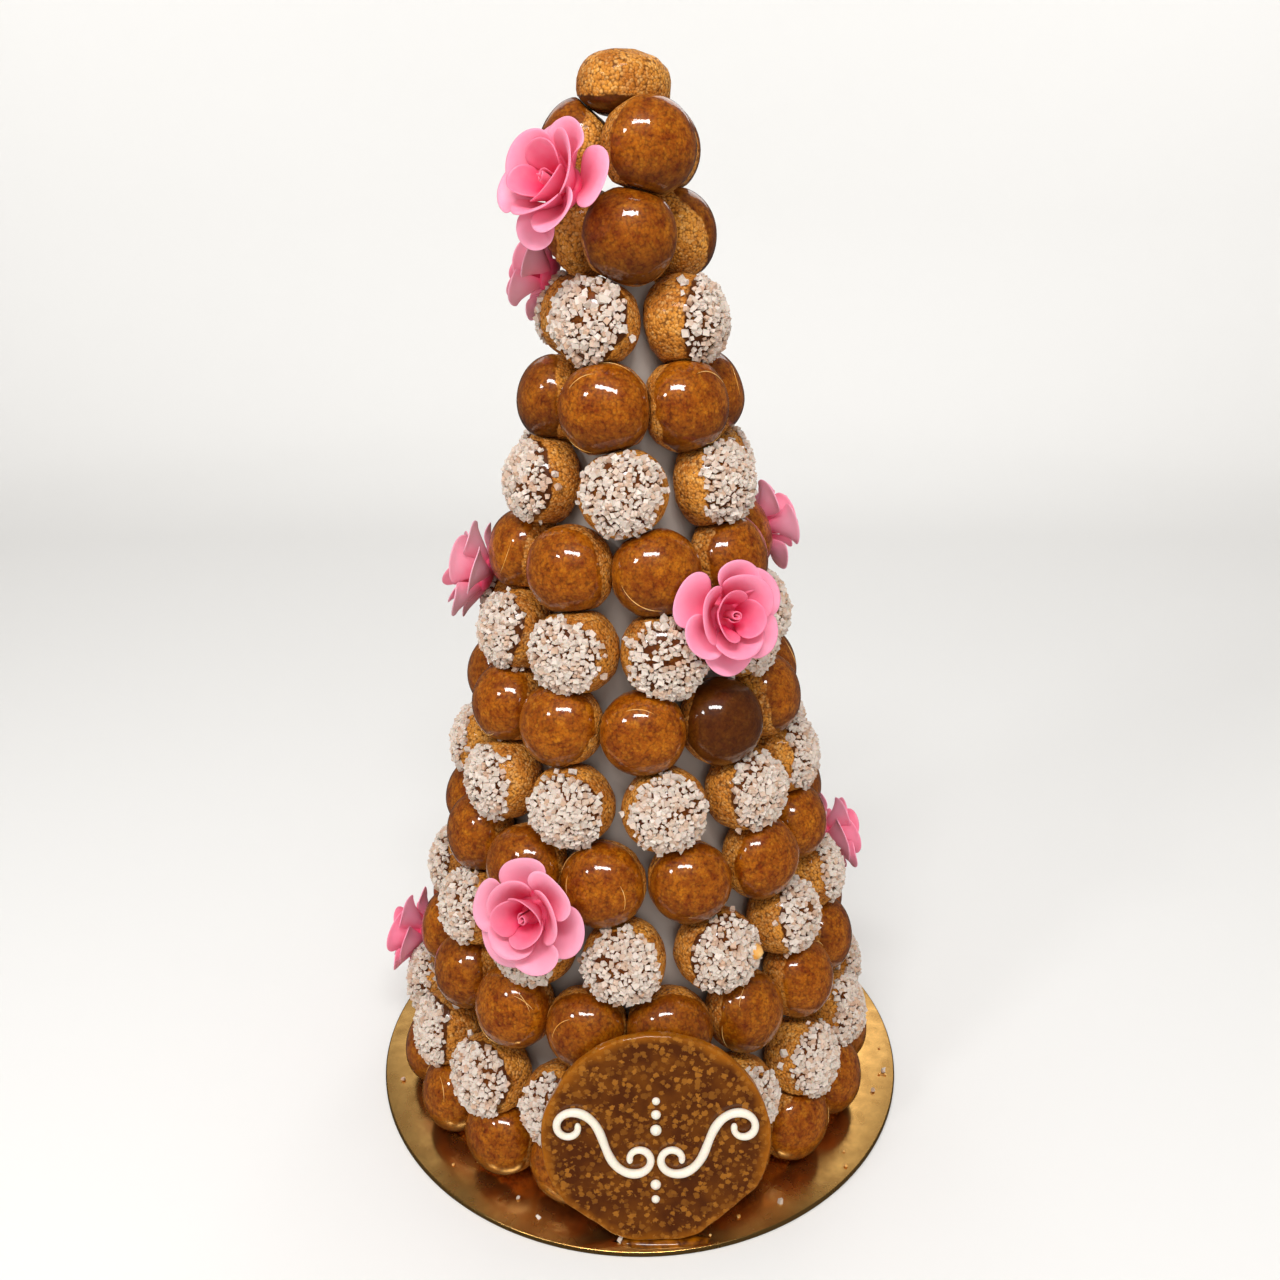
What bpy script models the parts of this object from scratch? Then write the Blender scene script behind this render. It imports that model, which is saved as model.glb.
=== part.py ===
"""A croquembouche: filled choux buns stacked round a pale cone on a gold board.

Fourteen rows of buns, glazed with caramel or dipped in pearl sugar by turns, climb the
cone, and one bare bun stands on top. Sugar roses sit between the buns, and a disc of
nougatine with a piped ornament leans on the lowest rows.

Lengths are metres, +Z is up and -Y is the front. The origin is the middle of the
board's underside. Azimuths run from the front towards +X.
"""

import math
import random

import bmesh
import bpy
from mathutils import Matrix, Vector

MM = 0.001
GAP = 0.3 * MM

# Board and cone. Heights below are measured from the board's top.
BOARD_RADIUS = 150 * MM
BOARD_THICKNESS = 3 * MM
BOARD_SEGMENTS = 48
CONE_HEIGHT = 468 * MM
CONE_SEGMENTS = 28

# The buns' centres lie on a steeper cone, whose axis leans a little to the left.
CENTRES_FOOT_RADIUS = 124.6 * MM
CENTRES_SLOPE = 0.228
CENTRES_ABOVE_CONE = 14 * MM
AXIS_FOOT_X = -1.5 * MM
AXIS_LEAN = -0.0075
FIRST_ROW_HEIGHT = 20 * MM
ROW_RISE = 36.3 * MM

# One choux bun: a low dome on a flat base that faces the cone.
BUN_RADIUS = 21.4 * MM
BUN_DOME = 18.2 * MM
BUN_BASE_RADIUS = 16.5 * MM
BUN_BASE_DEPTH = 14 * MM
BUN_SEGMENTS = 8
BUN_BASE_CORNERS = 4
BUN_SHOULDER_ANGLE = math.radians(44)
SIZE_SPREAD = 0.03
SURFACE_SPREAD = 0.014
JOINT_OVERLAP = 0.9 * MM
NEIGHBOUR_MARGIN = 4 * MM
SEED = 14

TOP_HEIGHT = 515.5 * MM
TOP_SHIFT_X = -1.8 * MM
TOP_RADIUS = 21.2 * MM
TOP_DOME = 15.6 * MM
TOP_BASE_DEPTH = 11.5 * MM
TOP_LEAN = math.radians(5)

# Rows from the board up: finish, buns, azimuth of one bun in degrees, and in mm how
# far the row has sunk, how far it is tucked in, and the least radius it can have.
ROWS = (
    ("caramel", 18, 3.8, 0, 3, 0),
    ("sugar", 16, 4.2, 5, 0, 0),
    ("caramel", 16, 9.2, 0, 0, 0),
    ("sugar", 13, 24.5, 0, 0, 0),
    ("caramel", 13, 18.0, 0, 0, 0),
    ("sugar", 11, 10.8, 0, 0, 0),
    ("caramel", 11, 3.8, 0, 0, 0),
    ("sugar", 9, 14.8, 0, 0, 0),
    ("caramel", 8, 12.5, 0, 0, 0),
    ("sugar", 6, -4.0, 0, 0, 0),
    ("caramel", 6, -18.0, 0, 0, 0),
    ("sugar", 4, 58.0, 0, 0, 29),
    ("caramel", 3, 0.0, 0, 0, 24.5),
    ("caramel", 3, 25.0, 0, 0, 22),
)
JOINED_ROWS = 9

# Sugar roses: azimuth and height of the foot, diameter, and how far the flower turns
# aside and looks up from the cone's own slope, in degrees and mm.
ROSES = (
    (-43, 473, 60, 0, 12),
    (-112, 436, 48, 0, 4),
    (106, 313, 48, 4, 0),
    (-92, 292, 56, -2, 2),
    (35, 293, 57, -12, 2),
    (-27, 155, 58, 6, 2),
    (100, 128, 50, 4, 0),
    (-94, 68, 52, -4, 0),
    (168, 402, 48, 0, 0),
    (160, 232, 54, 6, 2),
    (-152, 118, 50, 0, 0),
)
ROSE_STANDOFF = 13 * MM
ROSE_LEAST_RADIUS = 24 * MM
ROSE_PETALS = 5
ROSE_POINTS_PER_PETAL = 3

# A rose's rings from the foot inwards, and its closed middle, as shares of its radius:
# out from its axis, up from the foot, and how far a petal stands out of the ring.
ROSE_RINGS = ((0.91, 0.50, 0.09), (0.58, 0.46, 0.06), (0.40, 0.88, 0.03))
ROSE_PETAL_RISE = 0.6
ROSE_BUD = 0.74

# Nougatine disc, leaning back against the buns.
DISC_RADIUS = 55 * MM
DISC_THICKNESS = 5 * MM
DISC_LEAN = math.radians(10.2)
DISC_FOOT_Y = -140.4 * MM
DISC_X = 7.5 * MM
DISC_SEGMENTS = 36
DISC_FACE_SHARE = 0.98
DISC_SIDE_SHARE = 0.75

# Straight breaks along the disc's rim: azimuth of the middle in degrees, depth in mm.
DISC_BREAKS = ((-47, 3.2), (-88, 1.1), (-127, 1.7), (152, 0.8))

# Piped icing on the disc: two mirrored scrolls, with dots above, between and below them.
PIPING_RADIUS = 2.1 * MM
PIPING_THINNEST = 0.7
SCROLL_POINTS = 19
SCROLL_SIZE = 26 * MM
SCROLL_CURL = 2.05
SCROLL_TURN = math.radians(-72)
SCROLL_MIDDLE_X = 24.6 * MM
SCROLL_STEPS = 12
DOT_SEGMENTS = 8

# Dots on the disc's middle line: height above its centre and radius, in mm.
DOTS = ((6.5, 2.7), (14.5, 2.3), (21.5, 1.9), (-22.5, 2.5), (-30.5, 2.0))

# A dot's rings and its point, as shares of its radius: across, up.
DOT_RINGS = ((1, 0), (0.8, 0.9))
DOT_POINT = 1.25

# Edges sharper than this stay crisp; the round pieces take the first value.
SHARP_DEGREES = 50
DISC_SHARP_DEGREES = 30
ROSE_SHARP_DEGREES = 70

# Base colour, roughness and metallic value of each finish.
FINISHES = {
    "gold": ((0.62, 0.40, 0.13), 0.3, 1.0),
    "sugar_cone": ((0.80, 0.78, 0.75), 0.6, 0.0),
    "choux_crust": ((0.42, 0.20, 0.06), 0.75, 0.0),
    "caramel": ((0.33, 0.12, 0.02), 0.12, 0.0),
    "sugar": ((0.86, 0.79, 0.75), 0.6, 0.0),
    "rose_sugar": ((0.83, 0.22, 0.33), 0.55, 0.0),
    "nougatine": ((0.30, 0.12, 0.02), 0.15, 0.0),
    "icing": ((0.88, 0.86, 0.84), 0.35, 0.0),
}


class Bun:
    """One choux bun before it is made: where it sits, and the planes that limit it."""

    def __init__(self, node, finish, centre, axis, side, radius, dome, depth):
        self.node = node
        self.finish = finish
        self.centre = centre
        self.axis = axis
        self.side = side
        self.radius = radius
        self.dome = dome
        self.depth = depth
        self.joints = []
        self.limits = []


def clear_scene():
    for thing in list(bpy.data.objects):
        bpy.data.objects.remove(thing)


def finish_material(name):
    """The Principled material of one finish, made once."""
    found = bpy.data.materials.get(name)
    if found:
        return found
    colour, roughness, metallic = FINISHES[name]
    material = bpy.data.materials.new(name)
    material.use_nodes = True
    shader = material.node_tree.nodes["Principled BSDF"]
    shader.inputs["Base Color"].default_value = (*colour, 1)
    shader.inputs["Roughness"].default_value = roughness
    shader.inputs["Metallic"].default_value = metallic
    return material


def object_from(bm, name, finish, sharp_degrees=SHARP_DEGREES):
    """Puts a bmesh into the scene as a smooth-shaded object."""
    mesh = bpy.data.meshes.new(name)
    bmesh.ops.recalc_face_normals(bm, faces=bm.faces)
    bm.to_mesh(mesh)
    bm.free()
    mesh.materials.append(finish_material(finish))
    mesh.shade_smooth()
    mesh.set_sharp_from_angle(angle=math.radians(sharp_degrees))
    made = bpy.data.objects.new(name, mesh)
    bpy.context.scene.collection.objects.link(made)
    return made


def axis_x(height):
    """How far the leaning axis is from the board's middle at this height."""
    return AXIS_FOOT_X + AXIS_LEAN * height


def centres_radius(height):
    """Radius of the cone on which the buns' centres lie."""
    return CENTRES_FOOT_RADIUS - CENTRES_SLOPE * height


def place(azimuth, height, radius):
    """A point at this azimuth, height above the board and distance from the axis."""
    return Vector((
        axis_x(height) + radius * math.sin(azimuth),
        -radius * math.cos(azimuth),
        BOARD_THICKNESS + height,
    ))


def slope_normal(azimuth):
    """The leaning cone's outward normal."""
    rise = CENTRES_SLOPE - AXIS_LEAN * math.sin(azimuth)
    return Vector((math.sin(azimuth), -math.cos(azimuth), rise)).normalized()


def ring_surface(bm, rings):
    """Closes a stack of rings, of which neighbours may differ in count; one point is a pole."""
    made = [[bm.verts.new(point) for point in ring] for ring in rings]
    for lower, upper in zip(made, made[1:]):
        count = max(len(lower), len(upper))
        for i in range(count):
            corners = []
            for ring, step in ((lower, i), (lower, i + 1), (upper, i + 1), (upper, i)):
                corner = ring[step * len(ring) // count % len(ring)]
                if corner not in corners:
                    corners.append(corner)
            bm.faces.new(corners)
    for end in (made[0], made[-1]):
        if len(end) > 2:
            bm.faces.new(end)


def pulled_inside(centre, point, limits):
    """Moves a point towards the centre until it is inside every limiting plane."""
    reach = 1.0
    arm = point - centre
    for normal, offset in limits:
        across = normal.dot(arm)
        room = offset - normal.dot(centre)
        if across > room:
            reach = min(reach, room / across)
    return centre + arm * reach


def row_buns(rng):
    """All buns of the rows, each row evenly spaced, and the lone bun on top."""
    buns = []
    for row, (finish, count, phase, sunk, tuck, least) in enumerate(ROWS):
        height = FIRST_ROW_HEIGHT + ROW_RISE * row - sunk * MM
        radius = max(centres_radius(height) - tuck * MM, least * MM)
        ring = []
        for i in range(count):
            azimuth = math.radians(phase + 360 * i / count)
            centre = place(azimuth, height, radius)
            joined = row < JOINED_ROWS
            node = f"choux_row_{row + 1:02d}" + ("" if joined else f"_{i + 1}")
            side = Vector((math.cos(azimuth), math.sin(azimuth), 0))
            size = 1 + rng.uniform(-SIZE_SPREAD, SIZE_SPREAD)
            ring.append(Bun(
                node, finish, centre, slope_normal(azimuth), side,
                BUN_RADIUS * size, BUN_DOME * size, BUN_BASE_DEPTH,
            ))
        if row < JOINED_ROWS:
            for i, bun in enumerate(ring):
                for other in (ring[i - 1], ring[(i + 1) % count]):
                    half = (other.centre - bun.centre) / 2
                    bun.joints.append(half + half.normalized() * JOINT_OVERLAP)
        buns += ring
    middle = place(0, TOP_HEIGHT, 0) + Vector((TOP_SHIFT_X, 0, 0))
    lean = Matrix.Rotation(TOP_LEAN, 3, "Y")
    buns.append(Bun(
        "choux_top", "choux_crust", middle, lean @ Vector((0, 0, 1)),
        lean @ Vector((1, 0, 0)), TOP_RADIUS, TOP_DOME, TOP_BASE_DEPTH,
    ))
    return buns


def part_buns(buns):
    """Sets a plane between every two near buns that aren't joined into one node."""
    for i, first in enumerate(buns):
        for second in buns[i + 1:]:
            apart = second.centre - first.centre
            distance = apart.length
            far = distance > first.radius + second.radius + NEIGHBOUR_MARGIN
            if far or first.node == second.node:
                continue
            normal = apart / distance
            share = distance / 2 + (first.radius**2 - second.radius**2) / (2 * distance)
            middle = normal.dot(first.centre) + share
            first.limits.append((normal, middle - GAP / 2))
            second.limits.append((-normal, -middle - GAP / 2))


def rest_buns(buns):
    """Keeps the buns off the board, the cone and the disc."""
    facing = disc_matrix().to_3x3() @ Vector((0, 0, 1))
    behind_disc = facing.dot(disc_matrix().translation) - GAP
    for bun in buns:
        bun.limits.append((Vector((0, 0, -1)), -BOARD_THICKNESS - GAP))
        bun.limits.append((facing, behind_disc))
        if bun.node == "choux_top":
            continue
        height = bun.centre.z - BOARD_THICKNESS
        azimuth = math.atan2(bun.side.y, bun.side.x)
        on_cone = place(azimuth, height, centres_radius(height) - CENTRES_ABOVE_CONE)
        bun.limits.append((-bun.axis, -bun.axis.dot(on_cone) - GAP))


def bun_rings(bun, rng):
    """The bun's outline turned round its axis, with the neighbours' planes pressed in."""
    across = bun.axis.cross(bun.side)
    shoulder = BUN_SHOULDER_ANGLE
    profile = (
        (BUN_SEGMENTS, bun.radius * math.sin(shoulder), bun.dome * math.cos(shoulder)),
        (BUN_SEGMENTS, bun.radius, 0),
        (BUN_BASE_CORNERS, BUN_BASE_RADIUS, -bun.depth),
    )
    rings = [[bun.centre + bun.axis * bun.dome]]
    for count, radius, rise in profile:
        ring = []
        for i in range(count):
            turn = 2 * math.pi * i / count
            uneven = 1 + rng.uniform(-SURFACE_SPREAD, SURFACE_SPREAD)
            around = bun.side * math.cos(turn) + across * math.sin(turn)
            ring.append(bun.centre + around * radius * uneven + bun.axis * rise)
        rings.append(ring)
    equator = rings[2]
    for joint in bun.joints:
        nearest = max(range(BUN_SEGMENTS), key=lambda i: joint.dot(equator[i] - bun.centre))
        equator[nearest] = bun.centre + joint
    return [[pulled_inside(bun.centre, point, bun.limits) for point in ring] for ring in rings]


def make_buns(buns, rng):
    """Makes every node of buns; a joined row is a Boolean union of its buns."""
    first_of = {}
    for i, bun in enumerate(buns):
        bm = bmesh.new()
        ring_surface(bm, bun_rings(bun, rng))
        if bun.node not in first_of:
            first_of[bun.node] = object_from(bm, bun.node, bun.finish)
            continue
        helper = object_from(bm, f"{bun.node}_bun_{i}", bun.finish)
        helper.hide_render = True
        helper.display_type = "WIRE"
        union = first_of[bun.node].modifiers.new(f"join {i}", "BOOLEAN")
        union.operation = "UNION"
        union.solver = "EXACT"
        union.object = helper


def make_board():
    """A round cardboard board covered in gold foil."""
    bm = bmesh.new()
    bmesh.ops.create_cone(
        bm, cap_ends=True, segments=BOARD_SEGMENTS,
        radius1=BOARD_RADIUS, radius2=BOARD_RADIUS, depth=BOARD_THICKNESS,
        matrix=Matrix.Translation((0, 0, BOARD_THICKNESS / 2)),
    )
    object_from(bm, "board", "gold", DISC_SHARP_DEGREES)


def make_cone():
    """The pale cone inside, whose sides the buns' bases rest on."""
    bm = bmesh.new()
    rings = []
    for height in (GAP, CONE_HEIGHT):
        radius = centres_radius(height) - CENTRES_ABOVE_CONE
        rings.append([
            place(2 * math.pi * i / CONE_SEGMENTS, height, radius)
            for i in range(CONE_SEGMENTS)
        ])
    ring_surface(bm, rings)
    object_from(bm, "cone", "sugar_cone")


def rose_matrix(azimuth, height, turn, look_up):
    """Puts a rose's foot on the buns, with its +Z where the flower faces."""
    heading = math.radians(azimuth + turn)
    rise = math.atan(CENTRES_SLOPE) + math.radians(look_up)
    facing = Vector((
        math.sin(heading) * math.cos(rise),
        -math.cos(heading) * math.cos(rise),
        math.sin(rise),
    ))
    standing = height * MM
    radius = max(centres_radius(standing), ROSE_LEAST_RADIUS) + ROSE_STANDOFF
    foot = place(math.radians(azimuth), standing, radius)
    return Matrix.Translation(foot) @ facing.to_track_quat("Z", "Y").to_matrix().to_4x4()


def rose_rings(diameter):
    """A cup of five broad petals round a closed bud, as rings from the foot inwards."""
    radius = diameter * MM / 2
    count = ROSE_PETALS * ROSE_POINTS_PER_PETAL
    rings = [[Vector((0, 0, 0))]]
    for across, rise, lobe in ROSE_RINGS:
        ring = []
        for i in range(count):
            turn = 2 * math.pi * i / count
            petal = math.cos(ROSE_PETALS * turn) * lobe
            out = radius * (across + petal)
            up = radius * (rise + petal * ROSE_PETAL_RISE)
            ring.append(Vector((out * math.cos(turn), out * math.sin(turn), up)))
        rings.append(ring)
    rings.append([Vector((0, 0, radius * ROSE_BUD))])
    return rings


def make_roses(buns):
    """Makes the roses, and sets planes that keep the nearest buns clear of each."""
    for number, (azimuth, height, diameter, turn, look_up) in enumerate(ROSES, 1):
        matrix = rose_matrix(azimuth, height, turn, look_up)
        rings = [[matrix @ point for point in ring] for ring in rose_rings(diameter)]
        points = [point for ring in rings for point in ring]
        middle = matrix @ Vector((0, 0, diameter * MM / 4))
        facing = (matrix.to_3x3() @ Vector((0, 0, 1))).normalized()
        for bun in buns:
            ways = (facing, (middle - bun.centre).normalized(),
                    (matrix.translation - bun.centre).normalized())
            options = []
            for way in ways:
                nearest = min(way.dot(point) for point in points)
                options.append((nearest - GAP - way.dot(bun.centre), way))
            room, way = max(options, key=lambda option: option[0])
            if room < bun.radius + NEIGHBOUR_MARGIN:
                bun.limits.append((way, way.dot(bun.centre) + room))
        bm = bmesh.new()
        ring_surface(bm, rings)
        object_from(bm, f"rose_{number:02d}", "rose_sugar", ROSE_SHARP_DEGREES)


def disc_matrix():
    """The disc's back face, with +Z towards the viewer and the foot on the board."""
    up = math.cos(DISC_LEAN) * DISC_RADIUS + GAP
    back = math.sin(DISC_LEAN) * DISC_RADIUS
    middle = Vector((DISC_X, DISC_FOOT_Y + back, BOARD_THICKNESS + up))
    return Matrix.Translation(middle) @ Matrix.Rotation(math.pi / 2 - DISC_LEAN, 4, "X")


def disc_outline():
    """The disc's rim: a circle with a few straight breaks."""
    points = []
    for i in range(DISC_SEGMENTS):
        turn = 2 * math.pi * i / DISC_SEGMENTS
        radius = DISC_RADIUS
        for where, depth in DISC_BREAKS:
            towards = math.cos(turn - math.radians(where))
            if towards > 0:
                radius = min(radius, (DISC_RADIUS - depth * MM) / towards)
        points.append((radius * math.cos(turn), radius * math.sin(turn)))
    return points


def make_disc():
    """A slice of nougatine, whose face is slightly smaller than its back."""
    matrix = disc_matrix()
    bm = bmesh.new()
    rings = []
    for rise, scale in ((0, 1), (DISC_SIDE_SHARE, 1), (1, DISC_FACE_SHARE)):
        rings.append([
            matrix @ Vector((x * scale, y * scale, rise * DISC_THICKNESS))
            for x, y in disc_outline()
        ])
    ring_surface(bm, rings)
    object_from(bm, "nougatine_disc", "nougatine", DISC_SHARP_DEGREES)


def scroll_points(hand):
    """An Euler spiral: a lying scroll that curls in at both ends, mirrored for one hand."""
    first = SCROLL_POINTS // 2
    step = SCROLL_CURL / (first * SCROLL_STEPS)
    x = y = 0
    half = [Vector((0, 0))]
    for i in range(first * SCROLL_STEPS):
        along = (i + 0.5) * step
        turn = SCROLL_TURN + math.pi / 2 * along**2
        x += math.cos(turn) * step
        y += math.sin(turn) * step
        if (i + 1) % SCROLL_STEPS == 0:
            half.append(Vector((x, y)))
    whole = [-point for point in reversed(half[1:])] + half
    return [
        Vector((hand * (SCROLL_MIDDLE_X + point.x * SCROLL_SIZE), -point.y * SCROLL_SIZE, 0))
        for point in whole
    ]


def make_scroll(name, hand):
    """One piped scroll, thicker where the bag slowed down."""
    curve = bpy.data.curves.new(name, "CURVE")
    curve.dimensions = "3D"
    curve.bevel_depth = PIPING_RADIUS
    curve.bevel_resolution = 1
    curve.use_fill_caps = True
    places = scroll_points(hand)
    spline = curve.splines.new("POLY")
    spline.points.add(len(places) - 1)
    for i, (point, spot) in enumerate(zip(spline.points, places)):
        point.co = (*spot, 1)
        swell = math.sin(math.pi * i / (len(places) - 1))
        point.radius = PIPING_THINNEST + (1 - PIPING_THINNEST) * swell
    curve.materials.append(finish_material("icing"))
    scroll = bpy.data.objects.new(name, curve)
    scroll.matrix_world = disc_matrix() @ Matrix.Translation(
        (0, 0, DISC_THICKNESS + GAP + PIPING_RADIUS)
    )
    bpy.context.scene.collection.objects.link(scroll)


def make_dot(name, up, radius):
    """One piped dot, a low dome with a flat foot."""
    foot = disc_matrix() @ Matrix.Translation((0, up, DISC_THICKNESS + GAP))
    rings = []
    for across, rise in DOT_RINGS:
        rings.append([
            foot @ Vector((
                radius * across * math.cos(2 * math.pi * i / DOT_SEGMENTS),
                radius * across * math.sin(2 * math.pi * i / DOT_SEGMENTS),
                radius * rise,
            ))
            for i in range(DOT_SEGMENTS)
        ])
    rings.append([foot @ Vector((0, 0, radius * DOT_POINT))])
    bm = bmesh.new()
    ring_surface(bm, rings)
    object_from(bm, name, "icing")


def make_ornament():
    make_scroll("icing_scroll_left", -1)
    make_scroll("icing_scroll_right", 1)
    for number, (up, radius) in enumerate(DOTS, 1):
        make_dot(f"icing_dot_{number}", up * MM, radius * MM)


def main():
    clear_scene()
    rng = random.Random(SEED)
    buns = row_buns(rng)
    part_buns(buns)
    rest_buns(buns)
    make_board()
    make_cone()
    make_disc()
    make_ornament()
    make_roses(buns)
    make_buns(buns, rng)


main()
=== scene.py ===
"""Dresses the croquembouche: glazed and sugared choux buns on a sugar cone, paste roses,
a nougatine disc with piped icing, and the gold board that it all stands on.

Lengths are metres, +Z is up and -Y is the front. Azimuths run from the front towards +X.
"""

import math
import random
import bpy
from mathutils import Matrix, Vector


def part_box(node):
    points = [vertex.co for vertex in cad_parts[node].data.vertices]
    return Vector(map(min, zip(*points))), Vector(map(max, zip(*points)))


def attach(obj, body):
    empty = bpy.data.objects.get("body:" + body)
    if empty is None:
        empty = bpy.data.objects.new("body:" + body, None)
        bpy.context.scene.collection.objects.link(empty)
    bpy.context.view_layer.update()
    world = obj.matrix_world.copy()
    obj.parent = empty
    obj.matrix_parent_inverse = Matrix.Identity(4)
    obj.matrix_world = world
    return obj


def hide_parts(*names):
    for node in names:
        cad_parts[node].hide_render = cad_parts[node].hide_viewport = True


bl_info = {
    "name": "Croquembouche",
    "version": (1, 0, 0),
    "blender": (4, 5, 0),
    "location": "3D View > Sidebar > Croquembouche",
    "description": "Makes the buns, sugar, roses, nougatine, icing and board of a croquembouche",
    "category": "Add Mesh",
}

import bpy
import numpy as np
from bpy.props import FloatProperty, FloatVectorProperty, IntProperty, PointerProperty
from mathutils import Matrix, Vector, noise

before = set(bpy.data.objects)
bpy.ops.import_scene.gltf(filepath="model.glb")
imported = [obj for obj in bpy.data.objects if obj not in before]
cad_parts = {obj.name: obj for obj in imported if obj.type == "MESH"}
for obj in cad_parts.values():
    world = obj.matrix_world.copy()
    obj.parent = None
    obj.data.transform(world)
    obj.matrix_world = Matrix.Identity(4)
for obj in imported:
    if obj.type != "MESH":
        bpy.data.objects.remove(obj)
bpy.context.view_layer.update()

MM = 0.001
GAP = 0.3 * MM

# The stack's layout, with heights measured from the board's top.
BOARD_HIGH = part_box("board")[1]
BOARD_THICKNESS = BOARD_HIGH.z
BOARD_RADIUS = BOARD_HIGH.x
CONE_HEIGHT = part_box("cone")[1].z - BOARD_THICKNESS
CENTRES_FOOT_RADIUS = 124.6 * MM
CENTRES_SLOPE = 0.228
CENTRES_ABOVE_CONE = 14 * MM
AXIS_FOOT_X = -1.5 * MM
AXIS_LEAN = -0.0075
FIRST_ROW_HEIGHT = 20 * MM
ROW_RISE = 36.3 * MM

# One choux bun: a low dome on a flat base that faces the cone.
BUN_RADIUS = 21.4 * MM
BUN_DOME = 18.2 * MM
BUN_BASE_DEPTH = 14 * MM
SIZE_SPREAD = 0.03
JOINT_OVERLAP = 0.9 * MM
NEIGHBOUR_MARGIN = 4 * MM
NEAR_ROSE = 3 * BUN_RADIUS
LAYOUT_SEED = 14

TOP_HEIGHT = 515.5 * MM
TOP_SHIFT_X = -1.8 * MM
TOP_RADIUS = 21.2 * MM
TOP_DOME = 15.6 * MM
TOP_BASE_DEPTH = 11.5 * MM
TOP_LEAN = math.radians(5)

# Rows from the board up: finish, buns, azimuth of one bun in degrees, and in mm how
# far the row has sunk, how far it is tucked in, and the least radius it can have.
ROWS = (
    ("caramel", 18, 3.8, 0, 3, 0),
    ("sugar", 16, 4.2, 5, 0, 0),
    ("caramel", 16, 9.2, 0, 0, 0),
    ("sugar", 13, 24.5, 0, 0, 0),
    ("caramel", 13, 18.0, 0, 0, 0),
    ("sugar", 11, 10.8, 0, 0, 0),
    ("caramel", 11, 3.8, 0, 0, 0),
    ("sugar", 9, 14.8, 0, 0, 0),
    ("caramel", 8, 12.5, 0, 0, 0),
    ("sugar", 6, -4.0, 0, 0, 0),
    ("caramel", 6, -18.0, 0, 0, 0),
    ("sugar", 4, 58.0, 0, 0, 29),
    ("caramel", 3, 0.0, 0, 0, 24.5),
    ("caramel", 3, 25.0, 0, 0, 22),
)
JOINED_ROWS = 9

# The bun mesh: rings from the middle of the dipped cap to the far side.
BUN_SEGMENTS = 52
BUN_RINGS = 38
CAP_RINGS = 22
CAP_LIP = math.radians(3)
CAP_FADE = (0.75, 0.45, 0.15)
DOME_POWER = 2.1
TOP_DOME_POWER = 2.7
BASE_POWER = 3.2
PRESSED_EDGE = 1.4 * MM
UNEVENNESS = ((0.016, 1.9), (0.010, 3.4), (0.006, 6.1))
UNEVENNESS_SPREAD = (0.6, 1.3)
UNEVENNESS_INSET = 0.5
LEAST_FACING = 0.02
LUMP_WIDTH = 5 * MM
SURFACE_SEED = 5

# The range a wave's random start is drawn from, in radians.
WAVE_START = (0, 6)

# How far the caramel covers a bun from the middle of its cap, and how far that is off
# the bun's own axis, in degrees.
CARAMEL_ANGLE = 82
SUGARED_CARAMEL_ANGLE = 59
TOP_CARAMEL_ANGLE = 79
TOP_STEADINESS = 0.3
ANGLE_SPREAD = 8
EDGE_WAVES = ((3, 2.6), (5, 1.8), (9, 1.1))
EDGE_WAVE_SPREAD = (0.5, 1.4)
CAP_TILT = 10
DARK_BUN = ("choux_row_07", 1)

# Painted shade: a bun's caramel is darker on its underside and along the rim of its cap, for the
# fall-off of the top light there; it also stands for caramel run thicker there.
UNDERSIDE_SHADE = 0.75
RIM_SHADE = 0.2
RIM_SHADE_POWER = 4

# How dark a bun's caramel is, from 0 to 1, and how much browner than the top bun it is baked.
CARAMEL_TONES = (0.0, 0.35)
# The tone of the sugared and top buns is partly thick caramel and partly painted shade, between the
# pearl sugar and on the top bun's underside.
THICK_AND_SHADE_TONE = 0.8
DARK_TONE = 1.0
BAKES = (0.05, 0.35)

# Pearl sugar: grains over the middle of the cap, thinning out towards its edge.
PEARLS_PER_BUN = 262
PEARL_ANGLE = 63
PEARL_THINNING = 0.12
PEARL_THINNING_RATE = 1.6
PEARL_STEP_SPREAD = (0.1, 0.9)
PEARL_POLAR_SPREAD = math.radians(1.2)
PEARL_AZIMUTH_SPREAD = 0.05
PEARL_EDGE_WAVE = 1.3
PEARL_STRAYS = 4
PEARL_STRAY_REACH = (1.0, 1.35)
PEARL_WIDTHS = (0.65, 1.2)
PEARL_SHAPES = 12
PEARL_STRETCH = (0.75, 1.2)
PEARL_CORNER_SPREAD = 0.2
PEARL_SINK = 0.25
PRESSED_BARE = 1.2 * MM
GOLDEN_ANGLE = math.pi * (3 - math.sqrt(5))

# A spot where grains have come off: how far it is off the middle of the cap, its radius,
# both in radians, and the largest share of the grains that it has lost.
WORN_SPOT = (0.45, 0.5, 0.4)

# Loose grains on the board: azimuths, distances as shares of its radius, and widths.
STRAY_AZIMUTHS = (-1.4, 1.6)
STRAY_RADII = (0.86, 0.975)
STRAY_WIDTHS = (0.6, 1.1)

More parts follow.
